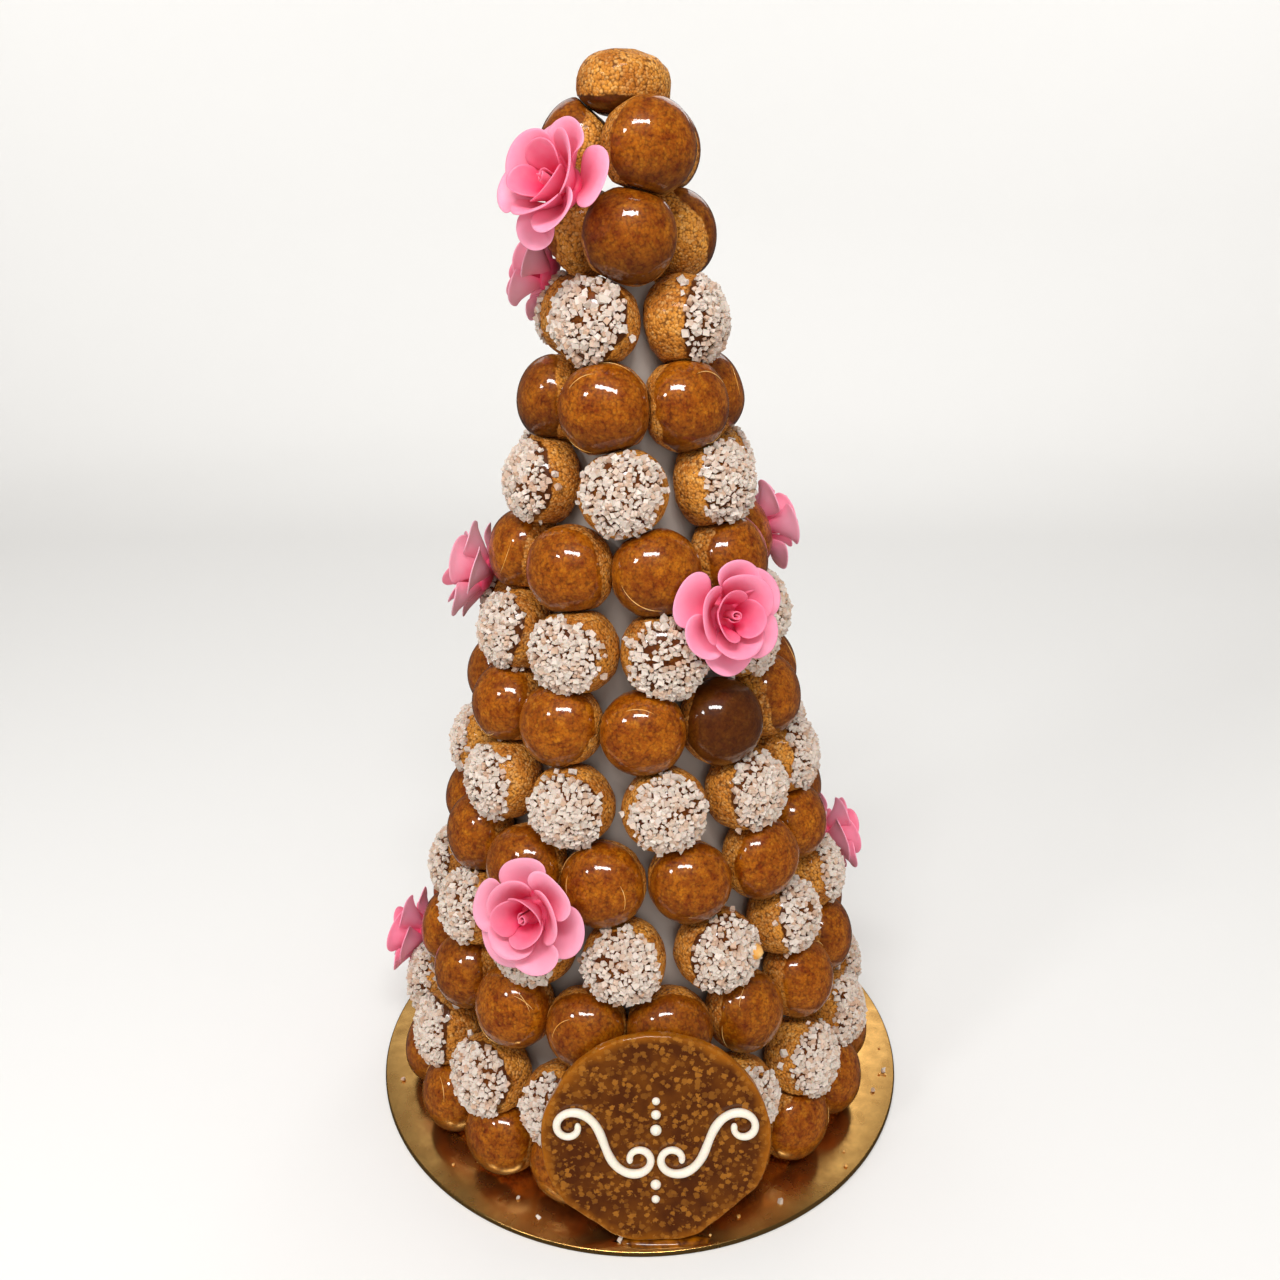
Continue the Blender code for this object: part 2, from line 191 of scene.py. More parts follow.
# Sugar roses: azimuth and height of the foot, diameter, and how far the flower turns
# aside and looks up from the cone's own slope, in degrees and mm. The last two values
# are how pale the paste is, from 0 to 1, and how the flower is rolled, in degrees. The paleness is
# partly each flower's own tone and partly painted light: roses 2 and 4, on the left, are made paler
# for the haze of light there.
ROSES = (
    (-43, 473, 60, 0, 12, 0.15, 12),
    (-112, 436, 48, 0, 4, 0.75, 30),
    (106, 313, 48, 4, 0, 0.50, 0),
    (-92, 292, 56, -2, 2, 1.00, 18),
    (35, 293, 57, -12, 2, 0.05, 24),
    (-27, 155, 58, 6, 2, 0.35, -8),
    (100, 128, 50, 4, 0, 0.35, 40),
    (-94, 68, 52, -4, 0, 0.20, 10),
    (168, 402, 48, 0, 0, 0.40, 5),
    (160, 232, 54, 6, 2, 0.10, 50),
    (-152, 118, 50, 0, 0, 0.60, 22),
)
ROSE_STANDOFF = 13 * MM
ROSE_LEAST_RADIUS = 24 * MM

# Rose petals by layer, with lengths as shares of the flower's radius: petals, turn of
# the first in degrees, radius at foot and tip, rise at foot and tip, degrees the petal
# wraps to each side, how spooned it is, how far its rim curls out, and its blush.
PETAL_LAYERS = (
    (3, 0, 0.10, 0.98, 0.02, 0.38, 43, 0.18, 0.08, 0.00),
    (3, 60, 0.10, 0.90, 0.07, 0.58, 43, 0.26, 0.06, 0.06),
    (3, 20, 0.14, 0.64, 0.08, 0.78, 66, 0.12, 0.12, 0.25),
    (3, 75, 0.09, 0.42, 0.10, 0.84, 74, 0.05, 0.04, 0.50),
)
PETAL_CELLS = 8
PETAL_SPREAD = 0.06
PETAL_FOOT_WIDTH = 0.55
PETAL_TURN_SPREAD = 7
PETAL_SKEW_SPREAD = 0.12
PETAL_REACH_POWER = 0.85
PETAL_RISE_POWER = 1.25

# The petal's rim: where it starts to curl, and how far that takes it out and down.
CURL_START = 0.55
CURL_STRENGTH = 4
CURL_OUT = 0.5
CURL_DOWN = 0.55
RIPPLE_HEIGHTS = (0.01, 0.03)
RIPPLE_COUNTS = (3, 5)

# The blush at a petal's foot, how quickly it fades, and what is taken off it all over.
FOOT_BLUSH = 1.15
BLUSH_POWER = 1.8
BLUSH_LOSS = 0.05

# The rolled bud and the pad below the petals, as shares of the flower's radius.
BUD_STEPS = 36
BUD_CELLS_UP = 4
BUD_TURNS = 1.7
BUD_RADIUS = 0.11
BUD_FOOT_WIDTH = 0.75
BUD_TIGHTENING = 0.86
BUD_FOOT = 0.12
BUD_RISE = 0.66
BUD_OUTER_DROP = 0.10
BUD_WAVE = 0.03
BUD_WAVE_RATE = 1.3
BUD_BLUSH_FOOT = 0.75
BUD_BLUSH_FADE = 0.3
PAD_RADIUS = 0.34
PAD_HEIGHT = 0.13
PAD_MIDDLE = 0.12
PAD_BLUSH = 0.9

# Nougatine disc, leaning back against the buns.
DISC_RADIUS = 55 * MM
DISC_THICKNESS = 5 * MM
DISC_LEAN = math.radians(10.2)
DISC_FOOT_Y = -140.4 * MM
DISC_X = 7.5 * MM
DISC_SEGMENTS = 180
DISC_BEVEL = 1.3 * MM
DISC_WAVES = ((7, 0.15), (13, 0.1), (29, 0.1))

# Straight breaks along the disc's rim: azimuth of the middle in degrees, depth in mm.
DISC_BREAKS = ((-47, 3.2), (-88, 1.1), (-127, 1.7), (152, 0.8))

# Piped icing on the disc: two mirrored scrolls, with dots above and below them. How thin
# the line gets, how far it narrows at its tips and how high its middle lies are shares of
# its radius.
PIPING_RADIUS = 2.1 * MM
PIPING_THINNEST = 0.7
PIPING_UNEVEN = 0.04
PIPING_WAVE = 0.21
SCROLL_SIZE = 26 * MM
SCROLL_CURL = 2.05
SCROLL_TURN = math.radians(-72)
SCROLL_MIDDLE_X = 24.6 * MM
SCROLL_STEPS = 110
PIPING_NARROWEST = 0.05
PIPING_RISE = 0.8
PIPING_ROUNDNESS = 4

# Dots on the disc's middle line: height above its centre and radius, in mm.
DOTS = ((6.5, 2.7), (14.5, 2.3), (21.5, 1.9), (-22.5, 2.5), (-30.5, 2.0))

# A dot's shape, as shares of its radius: its dome, its underside, and the small point.
DOT_DOME = 0.85
DOT_UNDERSIDE = 0.3
DOT_POINT_HEIGHT = 0.35
DOT_POINT_WIDTH = 0.3

# The caramel pool at the disc's foot, and how uneven it and the crumbs are.
POOL_SPOT = (10 * MM, -143.4 * MM)
POOL_SIZE = (23 * MM, 4.7 * MM, 2 * MM)
LUMP_SWELL = 0.35
LUMP_RATE = 1.7
LUMP_SHIFTS = (0, 50)

# Fine caramel threads over some of the glazed buns, golden and bright: partly spun caramel, partly
# painted glints standing for the golden glints in the glaze.
# Each sweeps round the middle of the cap, in radians, at an angle from it that drifts, in degrees,
# and tapers to its ends.
THREAD_RADIUS = 0.22 * MM
THREAD_STEPS = 16
THREAD_ROUNDNESS = 1
THREAD_TAPER = 0.06
THREADED_SHARE = 0.4
THREADS_PER_BUN = (1, 3)
THREAD_SWEEPS = (0.5, 1.3)
THREAD_ANGLES = (38, 74)
THREAD_DRIFTS = (-20, 12)

# The thread that hangs below one of ROSES, counted from 0: how far its top is aside from
# and below the rose's foot, and how it sways on its way down.
HANGING_ROSE = 5
HANGING_ASIDE = 6 * MM
HANGING_DOWN = 22 * MM
HANGING_POINTS = 20
HANGING_STEP = 1.5 * MM
HANGING_SWAY = 0.8 * MM
HANGING_THICKNESS = 1.3

# The golden crumb on one bun, which is named by its node and azimuth, and the crumbs on
# the board, with the ranges of their azimuths, of their distances as shares of the
# board's radius, and of their half sizes in mm.
CRUMBED_BUN = ("choux_row_04", 24.5)
CRUMB_MATCH = 5
CRUMB_ASIDE = 0.9
CRUMB_PROUD = 1 * MM
CRUMB_SIZE = 3.6 * MM
BOARD_CRUMBS = 12
BOARD_CRUMB_AZIMUTHS = (-2.2, 2.2)
BOARD_CRUMB_RADII = (0.88, 0.98)
BOARD_CRUMB_SIZES = (0.5, 1.1)
BOARD_CRUMB_FLATNESS = 0.7
BOARD_CRUMB_RISE = 0.6

# Rounding and shading of plain edges.
BOARD_SEGMENTS = 192
CONE_SEGMENTS = 120
CONE_BEVEL = 1.5 * MM
BEVEL_STEPS = 3
SHARP_EDGE = math.radians(40)
DISC_SHARP_EDGE = math.radians(50)
DISC_SHADING_EDGE = math.radians(45)

# What hard caramel and pearl sugar share: sugar glass. A coat of it leaves the surface
# below with little shine of its own.
SUGAR_GLASS_IOR = 1.5
UNDER_COAT_SPECULAR = 0.1
CARAMEL_SHINE = 0.04

# Widths of the finishes' patterns, and heights of their relief.
CRUST_PATCHES = 11 * MM
CRUST_WARP = 1.6 * MM
CRUST_BUMP = 0.7 * MM
GLAZE_POOLS = 4.5 * MM
GLAZE_RIPPLE = 0.3 * MM
CONE_CLOUDS = 18 * MM
CONE_BUMP = 0.5 * MM
PASTE_CLOUDS = 5 * MM
PASTE_BUMP = 0.25 * MM
NUT_CUTS = 1.1 * MM
NUT_WARP = 2.2 * MM
NUT_BUMP = 0.4 * MM
NOUGATINE_CLOUDS = 12 * MM
CARAMEL_CLOUDS = 4 * MM
ICING_GRAIN = 0.9 * MM
ICING_BUMP = 0.08 * MM
FOIL_WRINKLES = 9 * MM
FOIL_BUMP = 0.15 * MM
CARD_FIBRE = 1.5 * MM

# The clear rim of the nougatine: how uneven it is, and the distances from the disc's middle,
# unevenness included, where it starts and where it is whole.
RIM_UNEVENNESS = 9 * MM
RIM_START = 53.5 * MM
RIM_WHOLE = 59 * MM

# The studio: a round floor that sweeps up into a wall.
STUDIO_RADIUS = 2.6
STUDIO_HEIGHT = 1.6
STUDIO_SWEEP = 0.9
STUDIO_SEGMENTS = 128
SWEEP_STEPS = 16

# Light from all round: its colour, its strength, and its strength in glossy reflections.
WORLD_COLOUR = (1.0, 0.985, 0.965, 1.0)
WORLD_LIGHT = 0.53
WORLD_MIRRORED = 0.07

# Lights: name, place, what it points at, width, height, watts, whether glossy pieces mirror it.
LIGHTS = (
    ("top_strip", (-0.1, -0.85, 1.5), (0, 0, 0.25), 0.9, 0.2, 15, True),
    ("left_strip", (-0.95, -0.8, 1.15), (0, 0, 0.25), 0.2, 0.15, 3, True),
    ("front_panel", (0.4, -1.9, 0.7), (0, 0, 0.25), 1.2, 1.2, 5, False),
    ("back_right_panel", (0.55, 1.5, 1.4), (0, 0, 0), 0.7, 1.0, 3.4, True),
    ("back_left_panel", (-0.55, 1.5, 1.4), (0, 0, 0), 0.7, 1.0, 1.8, True),
    ("wall_panel", (0, 1.2, 1.2), (0, 3, 1.0), 3.0, 0.4, 12, False),
)

# The camera, which looks down on the front.
CAMERA_PLACE = (0, -0.5503, 0.4778)
CAMERA_DOWN = math.radians(21.58)
CAMERA_LENS = 32.04
CAMERA_SENSOR = 36

# Where a Mix node that mixes colours has its sockets.
MIX_FACTOR = 0
MIX_A = 6
MIX_B = 7
MIX_RESULT = 2


def linear(hex_colour):
    """An sRGB hex colour as linear red, green, blue and alpha."""
    values = []
    for start in (1, 3, 5):
        part = int(hex_colour[start:start + 2], 16) / 255
        values.append(part / 12.92 if part <= 0.04045 else ((part + 0.055) / 1.055) ** 2.4)
    return (*values, 1.0)


def colour_property(name, hex_colour, description):
    """A colour that a user can change."""
    return FloatVectorProperty(
        name=name, description=description, subtype="COLOR", size=4,
        min=0, max=1, default=linear(hex_colour),
    )


def length_property(name, default, description):
    """A length that a user can change."""
    return FloatProperty(
        name=name, description=description, default=default, min=0, unit="LENGTH", precision=5,
    )


class CroquemboucheSizes(bpy.types.PropertyGroup):
    """Sizes of the fine surface, which the frame doesn't fix."""

    glaze: length_property("Glaze", 0.4 * MM, "Thickness of the hard caramel on a bun")
    crust_relief: length_property("Crust relief", 0.55 * MM, "Height of the crust's lumps")
    craquelin_grain: length_property(
        "Craquelin grain", 1.3 * MM, "Width of one grain of the baked crust")
    pearl: length_property("Pearl sugar", 2.15 * MM, "Width of one grain of pearl sugar")
    petal: length_property("Petal", 0.8 * MM, "Thickness of a rose petal")
    nut: length_property("Nut pieces", 3.2 * MM, "Spacing of the nuts in the nougatine")
    board_bevel: length_property("Board edge", 0.7 * MM, "Rounding of the board's edge")
    strays: IntProperty(
        name="Stray grains", description="Loose pearl sugar on the board", default=8, min=0)


class CroquemboucheColours(bpy.types.PropertyGroup):
    """Colours of the finishes."""

    crust_gold: colour_property("Crust", "#e69c3e", "Baked craquelin")
    crust_pale: colour_property("Pale crust", "#efc27c", "The palest grains of the crust")
    crust_toasted: colour_property("Toasted crust", "#b46a24", "Browner patches of the crust")
    # Painted shade: the pits between the crust's grains are darkened where shade falls.
    crust_pit_shade: colour_property("Crust pits", "#5c2f0e", "Pits between the crust's grains")
    caramel_thin: colour_property("Thin caramel", "#dabc54", "What thin caramel lets through")
    caramel_thick: colour_property("Thick caramel", "#905c10", "What thick caramel lets through")
    # The darkest caramel, and the colour that the painted shade on the buns' caramel leads to.
    caramel_burnt_and_shade: colour_property("Burnt caramel", "#361704", "The darkest caramel")
    pearl: colour_property("Pearl sugar", "#d9cabd", "Opaque sugar grains")
    pearl_stained: colour_property("Stained sugar", "#c79f80", "Grains wetted by caramel")
    # Painted shade: the white cone is greyed, as it shows only in the shade between the buns.
    cone: colour_property("Cone", "#b7aea6", "Sugar cone")
    rose: colour_property("Rose", "#ff9cba", "Rose paste at a petal's rim")
    rose_blush: colour_property("Rose blush", "#e8165c", "Rose paste deep in the flower")
    rose_pale: colour_property("Pale rose", "#edb4c4", "The palest flowers")
    nougatine: colour_property("Nougatine", "#4e2200", "Caramel between the nuts")
    nougatine_rim: colour_property("Nougatine rim", "#9c5805", "Clear caramel at the rim")
    nut: colour_property("Nuts", "#a6681e", "Nuts seen through the caramel")
    icing: colour_property("Icing", "#f3ead9", "Royal icing")
    foil: colour_property("Gold foil", "#f2bc6c", "The board's foil")
    card: colour_property("Card", "#d9d5cc", "The board's underside")
    floor: colour_property("Floor", "#f0efed", "The studio floor")


def axis_x(height):
    """How far the leaning axis is from the board's middle at this height."""
    return AXIS_FOOT_X + AXIS_LEAN * height


def centres_radius(height):
    """Radius of the cone on which the buns' centres lie."""
    return CENTRES_FOOT_RADIUS - CENTRES_SLOPE * height


def place(azimuth, height, radius):
    """A point at this azimuth, height above the board and distance from the axis."""
    return Vector((
        axis_x(height) + radius * math.sin(azimuth),
        -radius * math.cos(azimuth),
        BOARD_THICKNESS + height,
    ))


def slope_normal(azimuth):
    """The leaning cone's outward normal."""
    rise = CENTRES_SLOPE - AXIS_LEAN * math.sin(azimuth)
    return Vector((math.sin(azimuth), -math.cos(azimuth), rise)).normalized()


def disc_matrix():
    """The disc's back face, with +Z towards the viewer and the foot on the board."""
    up = math.cos(DISC_LEAN) * DISC_RADIUS + GAP
    back = math.sin(DISC_LEAN) * DISC_RADIUS
    middle = Vector((DISC_X, DISC_FOOT_Y + back, BOARD_THICKNESS + up))
    return Matrix.Translation(middle) @ Matrix.Rotation(math.pi / 2 - DISC_LEAN, 4, "X")


class Bun:
    """One choux bun: where it sits, its size, and the planes that press it in."""

    def __init__(self, node, finish, centre, axis, side, radius, dome, depth):
        self.node = node
        self.finish = finish
        self.centre = centre
        self.axis = axis
        self.side = side
        self.radius = radius
        self.dome = dome
        self.depth = depth
        self.dome_power = DOME_POWER
        self.limits = []
        self.waves = []
        self.cap = axis
        self.cap_angle = 0.0
        self.edge_waves = []
        self.tone = 0.0
        self.bake = 0.0

    def azimuth(self):
        """Degrees round the stack from the front, to the right."""
        return math.degrees(math.atan2(self.side.y, self.side.x))


def row_buns():
    """All buns of the rows, each row evenly spaced, and the lone bun on top."""
    rng = random.Random(LAYOUT_SEED)
    buns = []
    for row, (finish, count, phase, sunk, tuck, least) in enumerate(ROWS):
        height = FIRST_ROW_HEIGHT + ROW_RISE * row - sunk * MM
        radius = max(centres_radius(height) - tuck * MM, least * MM)
        for i in range(count):
            azimuth = math.radians(phase + 360 * i / count)
            node = f"choux_row_{row + 1:02d}" + ("" if row < JOINED_ROWS else f"_{i + 1}")
            side = Vector((math.cos(azimuth), math.sin(azimuth), 0))
            size = 1 + rng.uniform(-SIZE_SPREAD, SIZE_SPREAD)
            buns.append(Bun(
                node, finish, place(azimuth, height, radius), slope_normal(azimuth), side,
                BUN_RADIUS * size, BUN_DOME * size, BUN_BASE_DEPTH,
            ))
    lean = Matrix.Rotation(TOP_LEAN, 3, "Y")
    top = Bun(
        "choux_top", "top", place(0, TOP_HEIGHT, 0) + Vector((TOP_SHIFT_X, 0, 0)),
        lean @ Vector((0, 0, 1)), lean @ Vector((1, 0, 0)),
        TOP_RADIUS, TOP_DOME, TOP_BASE_DEPTH,
    )
    top.dome_power = TOP_DOME_POWER
    buns.append(top)
    return buns


def part_buns(buns):
    """Sets a plane between every two near buns, which overlap a little inside a joined row."""
    for i, first in enumerate(buns):
        for second in buns[i + 1:]:
            apart = second.centre - first.centre
            distance = apart.length
            if distance > first.radius + second.radius + NEIGHBOUR_MARGIN:
                continue
            normal = apart / distance
            share = distance / 2 + (first.radius**2 - second.radius**2) / (2 * distance)
            middle = normal.dot(first.centre) + share
            room = JOINT_OVERLAP / 2 if first.node == second.node else -GAP / 2
            first.limits.append((normal, middle + room))
            second.limits.append((-normal, -middle + room))


def rest_buns(buns):
    """Keeps the buns off the board, the cone, the disc and the roses."""
    facing = disc_matrix().to_3x3() @ Vector((0, 0, 1))
    behind_disc = facing.dot(disc_matrix().translation) - GAP
    for bun in buns:
        bun.limits.append((Vector((0, 0, -1)), -BOARD_THICKNESS - GAP))
        bun.limits.append((facing, behind_disc))
        if bun.finish == "top":
            continue
        height = bun.centre.z - BOARD_THICKNESS
        azimuth = math.atan2(bun.side.y, bun.side.x)
        on_cone = place(azimuth, height, centres_radius(height) - CENTRES_ABOVE_CONE)
        bun.limits.append((-bun.axis, -bun.axis.dot(on_cone) - GAP))
    for number, (azimuth, height, diameter, turn, look_up, _, _) in enumerate(ROSES, 1):
        matrix = rose_matrix(azimuth, height, turn, look_up)
        points = [vertex.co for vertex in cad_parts[f"rose_{number:02d}"].data.vertices]
        middle = matrix @ Vector((0, 0, diameter * MM / 4))
        facing = (matrix.to_3x3() @ Vector((0, 0, 1))).normalized()
        for bun in buns:
            if (bun.centre - middle).length > NEAR_ROSE:
                continue
            ways = (facing, (middle - bun.centre).normalized(),
                    (matrix.translation - bun.centre).normalized())
            options = []
            for way in ways:
                nearest = min(way.dot(point) for point in points)
                options.append((nearest - GAP - way.dot(bun.centre), way))
            room, way = max(options, key=lambda option: option[0])
            if room < bun.radius + NEIGHBOUR_MARGIN:
                bun.limits.append((way, way.dot(bun.centre) + room))


def random_direction(rng):
    """A unit vector that points anywhere."""
    return Vector([rng.gauss(0, 1) for _ in range(3)]).normalized()


def make_uneven(buns):
    """Gives every bun its own unevenness, dipped cap and shade."""
    rng = random.Random(SURFACE_SEED)
    row_number = {}
    for bun in buns:
        number = row_number[bun.node] = row_number.get(bun.node, -1) + 1
        bun.waves = [
            (swell * rng.uniform(*UNEVENNESS_SPREAD), random_direction(rng) * wave,
             rng.uniform(*WAVE_START))
            for swell, wave in UNEVENNESS
        ]
        steady = TOP_STEADINESS if bun.finish == "top" else 1.0
        bun.edge_waves = [
            (count, steady * math.radians(size) * rng.uniform(*EDGE_WAVE_SPREAD),
             rng.uniform(*WAVE_START))
            for count, size in EDGE_WAVES
        ]
        angle = {"caramel": CARAMEL_ANGLE, "sugar": SUGARED_CARAMEL_ANGLE,
                 "top": TOP_CARAMEL_ANGLE}[bun.finish]
        bun.cap_angle = math.radians(angle + steady * rng.uniform(-ANGLE_SPREAD, ANGLE_SPREAD))
        tilt = steady * math.radians(CAP_TILT * math.sqrt(rng.random()))
        aside = bun.axis.cross(random_direction(rng)).normalized()
        bun.cap = Matrix.Rotation(tilt, 3, aside) @ bun.axis
        if bun.finish == "top":
            bun.cap = -bun.cap
        bun.tone = rng.uniform(*CARAMEL_TONES) if bun.finish == "caramel" else THICK_AND_SHADE_TONE
        bun.bake = 0.0 if bun.finish == "top" else rng.uniform(*BAKES)
        if (bun.node, number) == DARK_BUN:
            bun.tone = DARK_TONE


def turned(vector_z, vector_x):
    """A turn that puts Z on the first vector and X as near as it can to the second."""
    z = vector_z.normalized()
    x = (vector_x - z * vector_x.dot(z)).normalized()
    return Matrix((x, z.cross(x), z)).transposed()


def cap_directions(bun, polar, azimuth):
    """Directions from a bun's centre, by the angles from and round the middle of its cap."""
    local = np.stack([
        np.sin(polar) * np.cos(azimuth), np.sin(polar) * np.sin(azimuth), np.cos(polar),
    ], axis=1)
    return local @ np.array(turned(bun.cap, bun.side)).T


def bun_reach(bun, directions, pressed=True):
    """How far the bun reaches from its centre along each direction."""
    along = directions @ np.array(bun.axis)
    across = np.sqrt(np.clip(1 - along**2, 0, 1))
    front = ((across / bun.radius) ** bun.dome_power
             + (np.abs(along) / bun.dome) ** bun.dome_power) ** (-1 / bun.dome_power)
    back = ((across / bun.radius) ** BASE_POWER
            + (np.abs(along) / bun.depth) ** BASE_POWER) ** (-1 / BASE_POWER)
    reach = np.where(along > 0, front, back)
    for swell, wave, shift in bun.waves:
        uneven = np.sin(directions @ np.array(wave) + shift) - UNEVENNESS_INSET
        reach = reach * (1 + swell * uneven)
    if not pressed:
        return reach
    for normal, offset in bun.limits:
        facing = directions @ np.array(normal)
        room = (offset - normal.dot(bun.centre)) / np.maximum(facing, LEAST_FACING)
        blend = np.clip(0.5 + 0.5 * (room - reach) / PRESSED_EDGE, 0, 1)
        reach = room * (1 - blend) + reach * blend - PRESSED_EDGE * blend * (1 - blend)
    return reach


def select_none():
    """Deselects everything, the CAD nodes among them."""
    bpy.ops.object.select_all(action="DESELECT")


def select_only(*pieces):
    """Selects these pieces alone, with the first one active."""
    select_none()
    for piece in pieces:
        piece.select_set(True)
    bpy.context.view_layer.objects.active = pieces[0]


def select_vertices(piece, chosen):
    """Goes into edit mode with only those vertices selected whose place is chosen."""
    bpy.ops.object.mode_set(mode="EDIT")
    bpy.ops.mesh.select_mode(type="VERT")
    bpy.ops.mesh.select_all(action="DESELECT")
    bpy.ops.object.mode_set(mode="OBJECT")
    for vertex in piece.data.vertices:
        vertex.select = chosen(vertex.co)
    bpy.ops.object.mode_set(mode="EDIT")


def new_primitive(add, **settings):
    """Adds a primitive, alone in the selection and with its place in its mesh."""
    select_none()
    add(**settings)
    bpy.ops.object.transform_apply(location=True, rotation=True, scale=True)
    return bpy.context.object


def apply_modifier(piece, kind, **settings):
    """Adds a modifier with these settings and applies it."""
    select_only(piece)
    modifier = piece.modifiers.new(kind.title(), kind)
    for name, value in settings.items():
        setattr(modifier, name, value)
    bpy.ops.object.modifier_apply(modifier=modifier.name)


def copy_of(piece, name):
    """A copy with its own mesh."""
    copied = piece.copy()
    copied.data = piece.data.copy()
    copied.name = name
    bpy.context.scene.collection.objects.link(copied)
    return copied


def join(pieces):
    """Joins the pieces into the first."""
    select_only(*pieces)
    if len(pieces) > 1:
        bpy.ops.object.join()
    return bpy.context.view_layer.objects.active


def points_of(piece):
    """A piece's vertices as rows of x, y and z."""
    points = np.empty(len(piece.data.vertices) * 3, np.float32)
    piece.data.vertices.foreach_get("co", points)
    return points.reshape(-1, 3).astype(float)


def set_points(piece, points):
    """Moves a piece's vertices to these places."""
    piece.data.vertices.foreach_set("co", np.asarray(points, np.float32).ravel())
    piece.data.update()


def set_attribute(piece, name, values):
    """Stores one number for each vertex."""
    attribute = piece.data.attributes.new(name, "FLOAT", "POINT")
    attribute.data.foreach_set("value", np.asarray(values, np.float32))


def move_points(piece, matrix):
    """Puts a piece's vertices through a 4x4 matrix."""
    matrix = np.array(matrix)
    set_points(piece, points_of(piece) @ matrix[:3, :3].T + matrix[:3, 3])


def finish_piece(piece, name, slot, *nodes):
    """Names a finished piece, fixes it to the stack and lets it stand for its CAD nodes."""
    piece.name = name
    piece.data.name = name
    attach(piece, "root")
    if nodes:
        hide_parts(*nodes)


def new_material(name):
    """A new material and its Principled shader."""
    material = bpy.data.materials.new(name)
    material.use_nodes = True
    return material, material.node_tree.nodes["Principled BSDF"]


def set_inputs(material, node, inputs):
    """Sets a node's inputs; each is a value, or a socket to link from."""
    for name, value in inputs.items():
        if isinstance(value, bpy.types.NodeSocket):
            material.node_tree.links.new(value, node.inputs[name])
        else:
            node.inputs[name].default_value = value


def add_node(material, kind, inputs=None, **settings):
    """Adds a node with its settings, and sets its inputs."""
    made = material.node_tree.nodes.new(kind)
    for name, value in settings.items():
        setattr(made, name, value)
    set_inputs(material, made, inputs or {})
    return made


